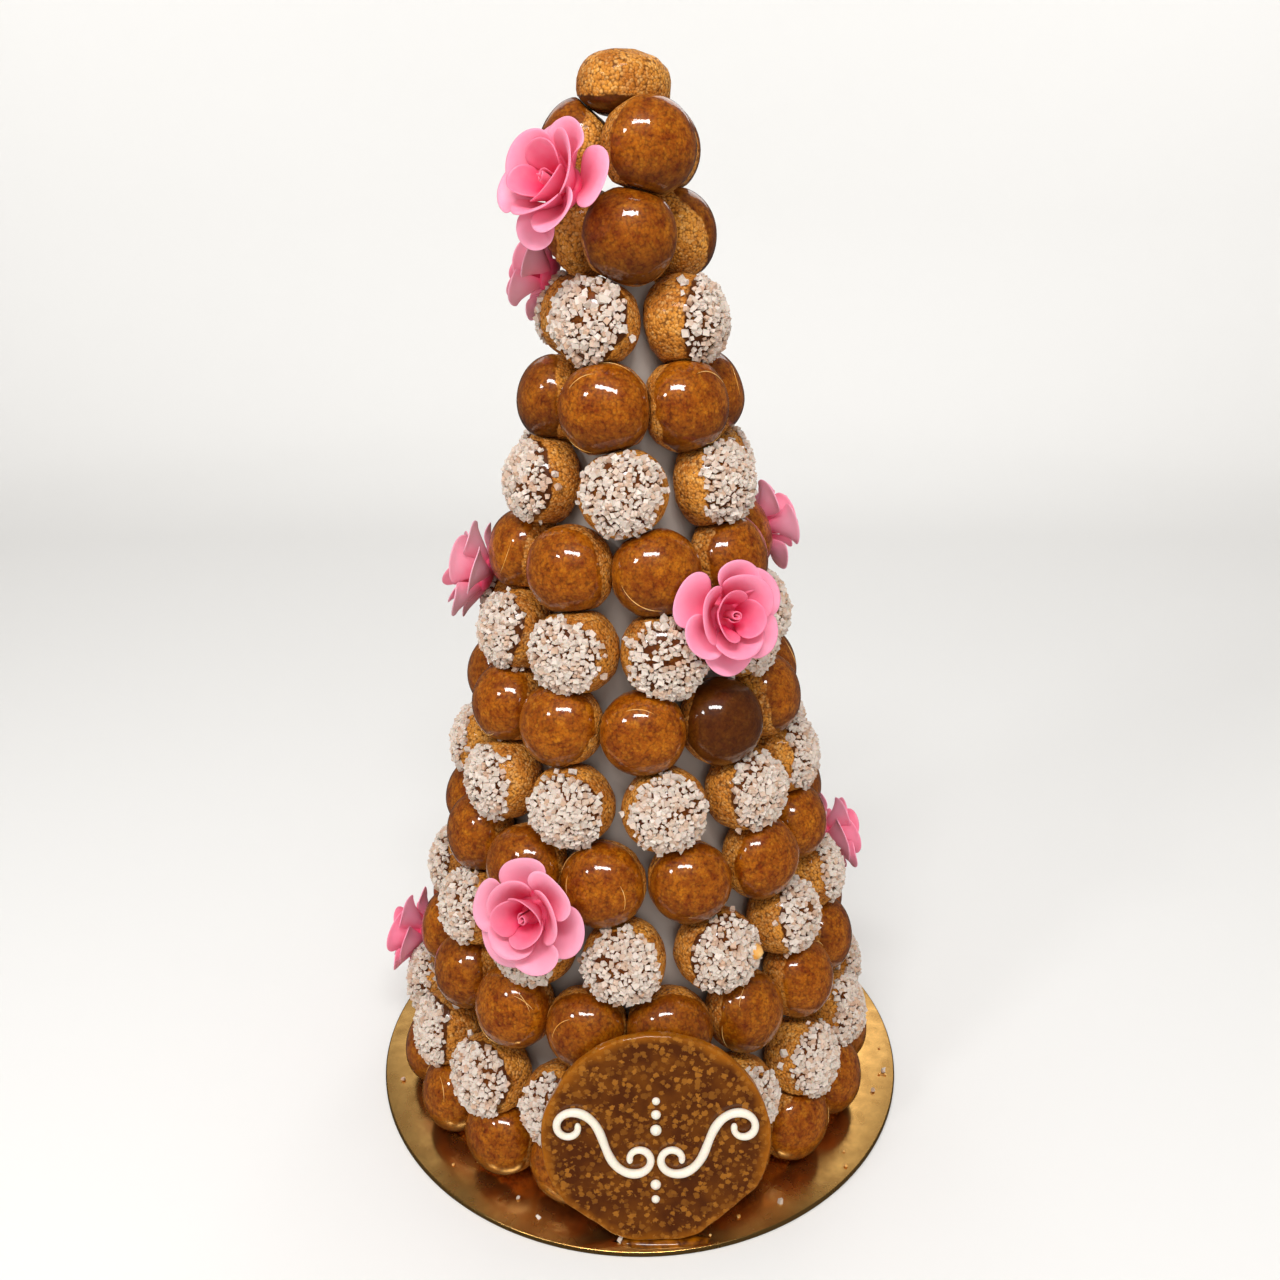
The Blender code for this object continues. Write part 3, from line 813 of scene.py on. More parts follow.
def dipped_choux(sizes, colours):
    """Baked craquelin: dry, grainy and golden; where it was dipped, hard caramel, glassy amber.

    The caramel is drawn as a coat that tints the crust below it.
    """
    material, shader = new_material("dipped_choux")
    where = add_node(material, "ShaderNodeTexCoord").outputs["Object"]
    lumps = add_node(material, "ShaderNodeTexNoise", {
        "Vector": where, "Scale": 1 / (3 * sizes.craquelin_grain), "Detail": 3.0})
    warped = add_node(material, "ShaderNodeVectorMath", {
        0: lumps.outputs["Color"], 1: (CRUST_WARP,) * 3, 2: where}, operation="MULTIPLY_ADD")
    grains = add_node(material, "ShaderNodeTexVoronoi", {
        "Vector": warped.outputs["Vector"], "Scale": 1 / sizes.craquelin_grain})
    own_random = add_node(material, "ShaderNodeSeparateColor", {0: grains.outputs["Color"]})
    toasting = add_node(material, "ShaderNodeTexNoise", {
        "Vector": where, "Scale": 1 / CRUST_PATCHES, "Detail": 3.0})
    glazed = add_node(material, "ShaderNodeAttribute", attribute_name="glaze")
    tone = add_node(material, "ShaderNodeAttribute", attribute_name="tone")
    bake = add_node(material, "ShaderNodeAttribute", attribute_name="bake")

    patches = add_node(material, "ShaderNodeMapRange", {
        "Value": toasting.outputs["Fac"], "From Min": 0.36, "From Max": 0.64,
    }).outputs["Result"]
    crust = add_node(material, "ShaderNodeMix", {
        MIX_FACTOR: patches, MIX_A: colours.crust_toasted, MIX_B: colours.crust_gold,
    }, data_type="RGBA").outputs[MIX_RESULT]
    pale = add_node(material, "ShaderNodeMapRange", {
        "Value": own_random.outputs[0], "From Min": 0.55, "To Max": 0.45,
    }).outputs["Result"]
    brown = add_node(material, "ShaderNodeMapRange", {
        "Value": own_random.outputs[1], "From Min": 0.5, "To Max": 0.5,
    }).outputs["Result"]
    # Painted shade in the pits at the grains' edges.
    pit_shade = add_node(material, "ShaderNodeMapRange", {
        "Value": grains.outputs["Distance"], "From Min": 0.48, "From Max": 0.85, "To Max": 0.8,
    }).outputs["Result"]
    shades = (
        (bake.outputs["Fac"], colours.crust_toasted),
        (pale, colours.crust_pale),
        (brown, colours.crust_toasted),
        (pit_shade, colours.crust_pit_shade),
    )
    for share, colour in shades:
        crust = add_node(material, "ShaderNodeMix", {
            MIX_FACTOR: share, MIX_A: crust, MIX_B: colour,
        }, data_type="RGBA").outputs[MIX_RESULT]

    ragged = add_node(material, "ShaderNodeMath", {
        0: lumps.outputs["Fac"], 1: 0.9, 2: glazed.outputs["Fac"]}, operation="MULTIPLY_ADD")
    glaze = add_node(material, "ShaderNodeMapRange", {
        "Value": ragged.outputs[0], "From Min": 0.85, "From Max": 1.05,
    }).outputs["Result"]
    pools = add_node(material, "ShaderNodeTexNoise", {
        "Vector": where, "Scale": 1 / GLAZE_POOLS, "Detail": 5.0, "Roughness": 0.7})
    depth = add_node(material, "ShaderNodeMapRange", {
        "Value": pools.outputs["Fac"], "From Min": 0.33, "From Max": 0.67,
    }).outputs["Result"]
    lets_through = add_node(material, "ShaderNodeMix", {
        MIX_FACTOR: depth, MIX_A: colours.caramel_thick, MIX_B: colours.caramel_thin,
    }, data_type="RGBA").outputs[MIX_RESULT]
    below = add_node(material, "ShaderNodeMix", {
        MIX_FACTOR: 0.25, MIX_A: crust, MIX_B: colours.crust_gold,
    }, data_type="RGBA").outputs[MIX_RESULT]
    amber = add_node(material, "ShaderNodeMix", {
        MIX_FACTOR: 1.0, MIX_A: below, MIX_B: lets_through,
    }, data_type="RGBA", blend_type="MULTIPLY").outputs[MIX_RESULT]
    # Painted shade: the tone darkens the caramel towards burnt caramel on undersides, cap rims,
    # between the pearl sugar and under the top bun, besides each bun's own tone.
    burnt_and_shade = add_node(material, "ShaderNodeMapRange", {
        "Value": tone.outputs["Fac"], "From Min": 0.15, "To Max": 0.8,
    }).outputs["Result"]
    amber = add_node(material, "ShaderNodeMix", {
        MIX_FACTOR: burnt_and_shade, MIX_A: amber, MIX_B: colours.caramel_burnt_and_shade,
    }, data_type="RGBA").outputs[MIX_RESULT]
    surface = add_node(material, "ShaderNodeMix", {
        MIX_FACTOR: glaze, MIX_A: crust, MIX_B: amber,
    }, data_type="RGBA").outputs[MIX_RESULT]

    relief = add_node(material, "ShaderNodeMath", {
        0: lumps.outputs["Fac"], 1: 1.6, 2: own_random.outputs[2]}, operation="MULTIPLY_ADD")
    relief = add_node(material, "ShaderNodeMath", {
        0: relief.outputs[0], 1: grains.outputs["Distance"]}, operation="SUBTRACT")
    strength = add_node(material, "ShaderNodeMapRange", {
        "Value": glaze, "To Min": 0.9, "To Max": 0.12,
    }).outputs["Result"]
    bump = add_node(material, "ShaderNodeBump", {
        "Height": relief.outputs[0], "Distance": CRUST_BUMP, "Strength": strength})
    ripples = add_node(material, "ShaderNodeBump", {
        "Height": lumps.outputs["Fac"], "Distance": GLAZE_RIPPLE, "Strength": 0.3})
    rough = add_node(material, "ShaderNodeMapRange", {
        "Value": glaze, "To Min": 0.5, "To Max": 0.4,
    }).outputs["Result"]
    gloss = add_node(material, "ShaderNodeMapRange", {
        "Value": glaze, "To Min": 0.1,
    }).outputs["Result"]
    set_inputs(material, shader, {
        "Base Color": surface,
        "Normal": bump.outputs["Normal"],
        "Coat Normal": ripples.outputs["Normal"],
        "Roughness": rough,
        "Coat Weight": gloss,
        "Specular IOR Level": UNDER_COAT_SPECULAR,
        "Coat Roughness": CARAMEL_SHINE,
        "Coat IOR": SUGAR_GLASS_IOR,
    })
    return material


def pearl_sugar(colours):
    """Pearl sugar, pressed sucrose: opaque, matt and off-white, some grains wet with caramel."""
    material, shader = new_material("pearl_sugar")
    tone = add_node(material, "ShaderNodeAttribute", attribute_name="tone")
    stain = add_node(material, "ShaderNodeMapRange", {
        "Value": tone.outputs["Fac"], "From Min": 0.55, "To Max": 0.85,
    }).outputs["Result"]
    sugar = add_node(material, "ShaderNodeMix", {
        MIX_FACTOR: stain, MIX_A: colours.pearl, MIX_B: colours.pearl_stained,
    }, data_type="RGBA").outputs[MIX_RESULT]
    set_inputs(material, shader, {
        "Base Color": sugar,
        "Roughness": 0.45,
        "IOR": SUGAR_GLASS_IOR,
        "Subsurface Weight": 0.1,
        "Subsurface Scale": 0.4 * MM,
    })
    return material


def sugar_cone(colours):
    """Cast sugar paste: smooth, white and barely uneven; its colour is greyed as painted shade,
    since it shows only in the gaps between the buns.
    """
    material, shader = new_material("cast_sugar")
    where = add_node(material, "ShaderNodeTexCoord").outputs["Object"]
    clouds = add_node(material, "ShaderNodeTexNoise", {"Vector": where, "Scale": 1 / CONE_CLOUDS})
    warm = add_node(material, "ShaderNodeMapRange", {
        "Value": clouds.outputs["Fac"], "From Min": 0.3, "From Max": 0.7, "To Max": 0.12,
    }).outputs["Result"]
    paste = add_node(material, "ShaderNodeMix", {
        MIX_FACTOR: warm, MIX_A: colours.cone, MIX_B: colours.pearl_stained,
    }, data_type="RGBA").outputs[MIX_RESULT]
    bump = add_node(material, "ShaderNodeBump", {
        "Height": clouds.outputs["Fac"], "Distance": CONE_BUMP, "Strength": 0.4})
    set_inputs(material, shader, {
        "Base Color": paste,
        "Normal": bump.outputs["Normal"],
        "Roughness": 0.5,
    })
    return material


def rose_paste(colours):
    """Gum paste, rolled thin and tinted: satin, slightly waxy, deeper pink inside the flower."""
    material, shader = new_material("rose_paste")
    where = add_node(material, "ShaderNodeTexCoord").outputs["Object"]
    clouds = add_node(material, "ShaderNodeTexNoise", {
        "Vector": where, "Scale": 1 / PASTE_CLOUDS, "Detail": 2.0})
    blush = add_node(material, "ShaderNodeAttribute", attribute_name="blush")
    # The pale attribute lightens some roses: partly their own tone, partly painted haze of light on
    # the left-side roses.
    paleness_and_haze = add_node(material, "ShaderNodeAttribute", attribute_name="pale")
    rim = add_node(material, "ShaderNodeMix", {
        MIX_FACTOR: paleness_and_haze.outputs["Fac"], MIX_A: colours.rose, MIX_B: colours.rose_pale,
    }, data_type="RGBA").outputs[MIX_RESULT]
    paste = add_node(material, "ShaderNodeMix", {
        MIX_FACTOR: blush.outputs["Fac"], MIX_A: rim, MIX_B: colours.rose_blush,
    }, data_type="RGBA").outputs[MIX_RESULT]
    cloud = add_node(material, "ShaderNodeMapRange", {
        "Value": clouds.outputs["Fac"], "From Min": 0.35, "From Max": 0.65, "To Max": 0.12,
    }).outputs["Result"]
    paste = add_node(material, "ShaderNodeMix", {
        MIX_FACTOR: cloud, MIX_A: paste, MIX_B: colours.rose_pale,
    }, data_type="RGBA").outputs[MIX_RESULT]
    bump = add_node(material, "ShaderNodeBump", {
        "Height": clouds.outputs["Fac"], "Distance": PASTE_BUMP, "Strength": 0.5})
    set_inputs(material, shader, {
        "Base Color": paste,
        "Normal": bump.outputs["Normal"],
        "Roughness": 0.45,
        "Subsurface Weight": 0.2,
        "Subsurface Scale": 1.5 * MM,
        "Subsurface Radius": (1.0, 0.3, 0.4),
    })
    return material


def nougatine(sizes, colours):
    """Nougatine, chopped nuts set in hard caramel: glossy, with pale nuts sunk to varied depths."""
    material, shader = new_material("nougatine")
    where = add_node(material, "ShaderNodeTexCoord").outputs["Object"]
    chopping = add_node(material, "ShaderNodeTexNoise", {
        "Vector": where, "Scale": 1 / NUT_CUTS, "Detail": 1.0})
    chopped = add_node(material, "ShaderNodeVectorMath", {
        0: chopping.outputs["Color"], 1: (NUT_WARP,) * 3, 2: where}, operation="MULTIPLY_ADD")
    nuts = add_node(material, "ShaderNodeTexVoronoi", {
        "Vector": chopped.outputs["Vector"], "Scale": 1 / sizes.nut})
    clouds = add_node(material, "ShaderNodeTexNoise", {
        "Vector": where, "Scale": 1 / NOUGATINE_CLOUDS, "Detail": 3.0})
    own_random = add_node(material, "ShaderNodeSeparateColor", {0: nuts.outputs["Color"]})
    size = add_node(material, "ShaderNodeMapRange", {
        "Value": own_random.outputs[0], "To Min": 0.36, "To Max": 0.58,
    }).outputs["Result"]
    inside = add_node(material, "ShaderNodeMath", {
        0: size, 1: nuts.outputs["Distance"]}, operation="SUBTRACT")
    shows = add_node(material, "ShaderNodeMapRange", {
        "Value": inside.outputs[0], "From Max": 0.09,
    }).outputs["Result"]
    sunk = add_node(material, "ShaderNodeMapRange", {
        "Value": own_random.outputs[1], "To Min": 0.2, "To Max": 0.9,
    }).outputs["Result"]
    share = add_node(material, "ShaderNodeMath", {0: shows, 1: sunk}, operation="MULTIPLY")
    spot = add_node(material, "ShaderNodeUVMap", uv_map="across")
    off_middle = add_node(material, "ShaderNodeVectorMath", {
        0: spot.outputs["UV"]}, operation="LENGTH")
    uneven_rim = add_node(material, "ShaderNodeMath", {
        0: clouds.outputs["Fac"], 1: RIM_UNEVENNESS, 2: off_middle.outputs["Value"],
    }, operation="MULTIPLY_ADD")
    rim = add_node(material, "ShaderNodeMapRange", {
        "Value": uneven_rim.outputs[0], "From Min": RIM_START, "From Max": RIM_WHOLE,
    }).outputs["Result"]
    cloud = add_node(material, "ShaderNodeMapRange", {
        "Value": clouds.outputs["Fac"], "From Min": 0.4, "From Max": 0.7, "To Max": 0.3,
    }).outputs["Result"]
    caramel = add_node(material, "ShaderNodeMix", {
        MIX_FACTOR: cloud, MIX_A: colours.nougatine, MIX_B: colours.nougatine_rim,
    }, data_type="RGBA").outputs[MIX_RESULT]
    caramel = add_node(material, "ShaderNodeMix", {
        MIX_FACTOR: rim, MIX_A: caramel, MIX_B: colours.nougatine_rim,
    }, data_type="RGBA").outputs[MIX_RESULT]
    body = add_node(material, "ShaderNodeMix", {
        MIX_FACTOR: share.outputs[0], MIX_A: caramel, MIX_B: colours.nut,
    }, data_type="RGBA").outputs[MIX_RESULT]
    bump = add_node(material, "ShaderNodeBump", {
        "Height": share.outputs[0], "Distance": NUT_BUMP, "Strength": 0.7})
    set_inputs(material, shader, {
        "Base Color": body,
        "Normal": bump.outputs["Normal"],
        "Roughness": 0.35,
        "Specular IOR Level": UNDER_COAT_SPECULAR,
        "Coat Weight": 1.0,
        "Coat Roughness": 0.05,
        "Coat IOR": SUGAR_GLASS_IOR,
    })
    return material


def clear_caramel(name, pale, deep):
    """Hard caramel on its own: glassy amber, a little cloudy."""
    material, shader = new_material(name)
    where = add_node(material, "ShaderNodeTexCoord").outputs["Object"]
    clouds = add_node(material, "ShaderNodeTexNoise", {
        "Vector": where, "Scale": 1 / CARAMEL_CLOUDS, "Detail": 2.0})
    cloud = add_node(material, "ShaderNodeMapRange", {
        "Value": clouds.outputs["Fac"], "From Min": 0.35, "From Max": 0.65,
    }).outputs["Result"]
    amber = add_node(material, "ShaderNodeMix", {
        MIX_FACTOR: cloud, MIX_A: pale, MIX_B: deep,
    }, data_type="RGBA").outputs[MIX_RESULT]
    set_inputs(material, shader, {
        "Base Color": amber,
        "Roughness": 0.3,
        "Specular IOR Level": UNDER_COAT_SPECULAR,
        "Coat Weight": 1.0,
        "Coat Roughness": CARAMEL_SHINE,
        "Coat IOR": SUGAR_GLASS_IOR,
    })
    return material


def royal_icing(colours):
    """Royal icing, piped and dried: smooth, off-white and satin."""
    material, shader = new_material("royal_icing")
    where = add_node(material, "ShaderNodeTexCoord").outputs["Object"]
    grain = add_node(material, "ShaderNodeTexNoise", {"Vector": where, "Scale": 1 / ICING_GRAIN})
    warm = add_node(material, "ShaderNodeMapRange", {
        "Value": grain.outputs["Fac"], "From Min": 0.3, "From Max": 0.7, "To Max": 0.1,
    }).outputs["Result"]
    sugar = add_node(material, "ShaderNodeMix", {
        MIX_FACTOR: warm, MIX_A: colours.icing, MIX_B: colours.pearl_stained,
    }, data_type="RGBA").outputs[MIX_RESULT]
    bump = add_node(material, "ShaderNodeBump", {
        "Height": grain.outputs["Fac"], "Distance": ICING_BUMP, "Strength": 0.5})
    set_inputs(material, shader, {
        "Base Color": sugar,
        "Normal": bump.outputs["Normal"],
        "Roughness": 0.35,
        "Subsurface Weight": 0.15,
        "Subsurface Scale": 1 * MM,
    })
    return material


def gold_foil(colours):
    """Gold foil laid on card: a soft mirror with faint wrinkles."""
    material, shader = new_material("gold_foil")
    where = add_node(material, "ShaderNodeTexCoord").outputs["Object"]
    wrinkles = add_node(material, "ShaderNodeTexNoise", {
        "Vector": where, "Scale": 1 / FOIL_WRINKLES, "Detail": 4.0})
    darker = add_node(material, "ShaderNodeMapRange", {
        "Value": wrinkles.outputs["Fac"], "From Min": 0.3, "From Max": 0.7, "To Max": 0.25,
    }).outputs["Result"]
    foil = add_node(material, "ShaderNodeMix", {
        MIX_FACTOR: darker, MIX_A: colours.foil, MIX_B: colours.nougatine_rim,
    }, data_type="RGBA").outputs[MIX_RESULT]
    rough = add_node(material, "ShaderNodeMapRange", {
        "Value": wrinkles.outputs["Fac"], "From Min": 0.3, "From Max": 0.7,
        "To Min": 0.2, "To Max": 0.3,
    }).outputs["Result"]
    bump = add_node(material, "ShaderNodeBump", {
        "Height": wrinkles.outputs["Fac"], "Distance": FOIL_BUMP, "Strength": 0.35})
    set_inputs(material, shader, {
        "Base Color": foil,
        "Roughness": rough,
        "Normal": bump.outputs["Normal"],
        "Metallic": 1.0,
    })
    return material


def paper_card(colours):
    """Pressed paper card: matt and pale, with a faint fibre."""
    material, shader = new_material("paper_card")
    where = add_node(material, "ShaderNodeTexCoord").outputs["Object"]
    fibre = add_node(material, "ShaderNodeTexNoise", {
        "Vector": where, "Scale": 1 / CARD_FIBRE, "Detail": 3.0})
    shade = add_node(material, "ShaderNodeMapRange", {
        "Value": fibre.outputs["Fac"], "From Min": 0.3, "From Max": 0.7, "To Max": 0.15,
    }).outputs["Result"]
    paper = add_node(material, "ShaderNodeMix", {
        MIX_FACTOR: shade, MIX_A: colours.card, MIX_B: colours.pearl_stained,
    }, data_type="RGBA").outputs[MIX_RESULT]
    set_inputs(material, shader, {
        "Base Color": paper,
        "Roughness": 0.8,
    })
    return material


def make_board(sizes, colours):
    """A round card board, foiled on top and down its edge."""
    board = new_primitive(
        bpy.ops.mesh.primitive_cylinder_add, vertices=BOARD_SEGMENTS,
        radius=BOARD_RADIUS, depth=BOARD_THICKNESS, location=(0, 0, BOARD_THICKNESS / 2),
    )
    apply_modifier(board, "BEVEL", width=sizes.board_bevel, segments=BEVEL_STEPS,
                   limit_method="ANGLE", angle_limit=SHARP_EDGE)
    board.data.materials.append(gold_foil(colours))
    board.data.materials.append(paper_card(colours))
    for face in board.data.polygons:
        face.material_index = 1 if face.normal.z < -0.9 else 0
    bpy.ops.object.shade_smooth_by_angle(angle=SHARP_EDGE)
    finish_piece(board, "gold_board", "board_gold", "board")


def make_cone(colours):
    """The cast sugar cone that the buns are stuck to."""
    cone = new_primitive(
        bpy.ops.mesh.primitive_cone_add, vertices=CONE_SEGMENTS,
        radius1=1, radius2=0.5, depth=CONE_HEIGHT - GAP,
        location=(0, 0, BOARD_THICKNESS + (CONE_HEIGHT + GAP) / 2),
    )
    points = points_of(cone)
    azimuths = np.arctan2(points[:, 1], points[:, 0])
    heights = points[:, 2] - BOARD_THICKNESS
    radii = centres_radius(heights) - CENTRES_ABOVE_CONE
    set_points(cone, np.stack([
        axis_x(heights) + radii * np.cos(azimuths), radii * np.sin(azimuths), points[:, 2],
    ], axis=1))
    apply_modifier(cone, "BEVEL", width=CONE_BEVEL, segments=BEVEL_STEPS,
                   limit_method="ANGLE", angle_limit=SHARP_EDGE)
    cone.data.materials.append(sugar_cone(colours))
    bpy.ops.object.shade_smooth_by_angle(angle=SHARP_EDGE)
    finish_piece(cone, "sugar_cone", "cone_white", "cone")


def bun_blank():
    """A round blank, with each vertex's ring and azimuth."""
    blank = new_primitive(
        bpy.ops.mesh.primitive_uv_sphere_add,
        segments=BUN_SEGMENTS, ring_count=BUN_RINGS, radius=1,
    )
    bpy.ops.object.shade_smooth()
    points = points_of(blank)
    polar = np.arccos(np.clip(points[:, 2], -1, 1))
    rings = np.rint(polar / math.pi * BUN_RINGS)
    return blank, rings, np.arctan2(points[:, 1], points[:, 0])


def glaze_cover(rings):
    """How much caramel lies on each ring: all of it on the cap, fading just past its edge."""
    cover = np.where(rings < CAP_RINGS, 1.0, 0.0)
    for step, share in enumerate(CAP_FADE):
        cover[rings == CAP_RINGS + step] = share
    return cover


def shape_bun(piece, bun, rings, azimuths, sizes):
    """Moves a round blank's vertices onto one bun, with its dipped cap standing proud."""
    edge = np.full(len(rings), bun.cap_angle)
    for count, size, shift in bun.edge_waves:
        edge += size * np.sin(count * azimuths + shift)
    past = np.clip((rings - CAP_RINGS - 1) / (BUN_RINGS - CAP_RINGS - 1), 0, 1)
    capped = rings <= CAP_RINGS
    polar = np.where(capped, edge * rings / CAP_RINGS,
                     edge + CAP_LIP + (math.pi - edge - CAP_LIP) * past)
    directions = cap_directions(bun, polar, azimuths)
    reach = bun_reach(bun, directions)
    points = np.array(bun.centre) + directions * reach[:, None]
    lumps = np.array([noise.noise(Vector(point) / LUMP_WIDTH) for point in points])
    cover = glaze_cover(rings)
    proud = sizes.glaze * (cover - 1)
    points += directions * (proud + (1 - cover) * sizes.crust_relief * lumps)[:, None]
    set_points(piece, points)
    # Painted shade in the tone: darker on the underside and towards the cap's rim.
    underside_shade = UNDERSIDE_SHADE * np.clip(-directions[:, 2], 0, 1)
    rim_shade = RIM_SHADE * np.clip(polar / edge, 0, 1) ** RIM_SHADE_POWER
    set_attribute(piece, "tone", np.clip(bun.tone + underside_shade + rim_shade, 0, 1))
    set_attribute(piece, "glaze", cover)
    set_attribute(piece, "bake", np.full(len(points), bun.bake))


def make_buns(buns, sizes, colours):
    """Every bun; the buns of a joined row become one piece, as they are stuck together."""
    blank, rings, azimuths = bun_blank()
    blank.data.materials.append(dipped_choux(sizes, colours))
    names = {"caramel": "glazed", "sugar": "sugared", "top": "bare"}
    slots = {"caramel": "choux_caramel", "sugar": "choux_pearl_sugar", "top": "choux_crust"}
    by_node = {}
    for bun in buns:
        piece = copy_of(blank, "bun")
        shape_bun(piece, bun, rings, azimuths, sizes)
        by_node.setdefault(bun.node, (bun.finish, []))[1].append(piece)
    bpy.data.objects.remove(blank)
    for node, (finish, pieces) in by_node.items():
        name = node.replace("choux", names[finish])
        finish_piece(join(pieces), name, slots[finish], node)


def random_turn(rng):
    """A random turn as a 3x3 array."""
    axis = random_direction(rng)
    return np.array(Matrix.Rotation(rng.uniform(0, 2 * math.pi), 3, axis))


def grain_shapes(rng, count):
    """A few angular grains, made by pulling the corners of a cube about."""
    blank = new_primitive(bpy.ops.mesh.primitive_cube_add, size=1)
    corners = points_of(blank)
    faces = np.array([list(face.vertices) for face in blank.data.polygons])
    bpy.data.objects.remove(blank)
    shapes = []
    for _ in range(count):
        pulled = corners * np.array([rng.uniform(*PEARL_STRETCH) for _ in range(3)])
        shifts = np.array([rng.uniform(-1, 1) for _ in corners.ravel()])
        shapes.append(pulled + shifts.reshape(-1, 3) * PEARL_CORNER_SPREAD)
    return shapes, faces


def grains_piece(name, grains, faces, material, tones):
    """One piece of many loose grains, each an array of corners."""
    count = len(grains[0])
    points = np.concatenate(grains)
    starts = (np.arange(len(grains)) * count)[:, None, None]
    everywhere = (faces[None] + starts).reshape(-1, faces.shape[1])
    mesh = bpy.data.meshes.new(name)
    mesh.from_pydata(points.tolist(), [], everywhere.tolist())
    piece = bpy.data.objects.new(name, mesh)
    bpy.context.scene.collection.objects.link(piece)
    set_attribute(piece, "tone", np.repeat(tones, count))
    mesh.materials.append(material)
    return piece


def pearl_places(bun, rng):
    """Where the grains sit on a sugared bun, with the way out of the surface at each."""
    most = math.radians(PEARL_ANGLE)
    turn = rng.uniform(0, 2 * math.pi)
    out, wide, share_lost = WORN_SPOT
    worn = np.array([rng.uniform(-out, out), rng.uniform(-out, out)])
    share_lost *= rng.random()
    spots = []
    for i in range(PEARLS_PER_BUN):
        share = (i + rng.uniform(*PEARL_STEP_SPREAD)) / PEARLS_PER_BUN
        thinned = (share - 1 + PEARL_THINNING) * PEARL_THINNING_RATE
        if share > 1 - PEARL_THINNING and rng.random() < thinned:
            continue
        polar = math.acos(1 - share * (1 - math.cos(most)))
        polar += rng.gauss(0, PEARL_POLAR_SPREAD)
        azimuth = turn + i * GOLDEN_ANGLE + rng.gauss(0, PEARL_AZIMUTH_SPREAD)
        for count, size, shift in bun.edge_waves:
            wave = size * math.sin(count * azimuth + shift)
            polar += PEARL_EDGE_WAVE * polar / most * wave
        flat = polar * np.array([math.cos(azimuth), math.sin(azimuth)])
        if np.linalg.norm(flat - worn) < wide and rng.random() < share_lost:
            continue
        spots.append((polar, azimuth))
    for _ in range(PEARL_STRAYS):
        reach = most * rng.uniform(*PEARL_STRAY_REACH)
        spots.append((reach, rng.uniform(0, 2 * math.pi)))
    directions = cap_directions(bun, *np.array(spots).T)
    reach = bun_reach(bun, directions)
    free = bun_reach(bun, directions, pressed=False)
    open_air = free - reach < PRESSED_BARE
    return directions[open_air], reach[open_air]


def make_pearl_sugar(buns, sizes, colours):
    """All the pearl sugar: on the sugared buns, and a few grains fallen on the board."""
    rng = random.Random(SURFACE_SEED + 1)
    shapes, faces = grain_shapes(rng, PEARL_SHAPES)
    grains, tones = [], []
    for bun in buns:
        if bun.finish != "sugar":
            continue
        for direction, reach in zip(*pearl_places(bun, rng)):
            width = sizes.pearl * rng.uniform(*PEARL_WIDTHS)
            centre = np.array(bun.centre) + direction * (reach + width * (0.5 - PEARL_SINK))
            grains.append(centre + width * rng.choice(shapes) @ random_turn(rng))
            tones.append(rng.random())
    for _ in range(sizes.strays):
        azimuth = rng.uniform(*STRAY_AZIMUTHS)
        radius = rng.uniform(*STRAY_RADII) * BOARD_RADIUS
        width = sizes.pearl * rng.uniform(*STRAY_WIDTHS)
        centre = np.array(place(azimuth, width / 2, radius))
        grains.append(centre + width * rng.choice(shapes) @ random_turn(rng))
        tones.append(rng.random())
    piece = grains_piece("pearl_sugar", grains, faces, pearl_sugar(colours), tones)
    finish_piece(piece, "pearl_sugar", "choux_pearl_sugar")


def rose_matrix(azimuth, height, turn, look_up):
    """Puts a rose's foot on the buns, with its +Z where the flower faces."""
    heading = math.radians(azimuth + turn)
    rise = math.atan(CENTRES_SLOPE) + math.radians(look_up)
    facing = Vector((
        math.sin(heading) * math.cos(rise),
        -math.cos(heading) * math.cos(rise),
        math.sin(rise),
    ))
    standing = height * MM
    radius = max(centres_radius(standing), ROSE_LEAST_RADIUS) + ROSE_STANDOFF
    foot = place(math.radians(azimuth), standing, radius)
    return Matrix.Translation(foot) @ facing.to_track_quat("Z", "Y").to_matrix().to_4x4()


def petal_blank():
    """A flat square grid whose cells become a petal."""
    blank = new_primitive(
        bpy.ops.mesh.primitive_grid_add,
        x_subdivisions=PETAL_CELLS, y_subdivisions=PETAL_CELLS, size=2,
    )
    bpy.ops.object.shade_smooth()
    return blank


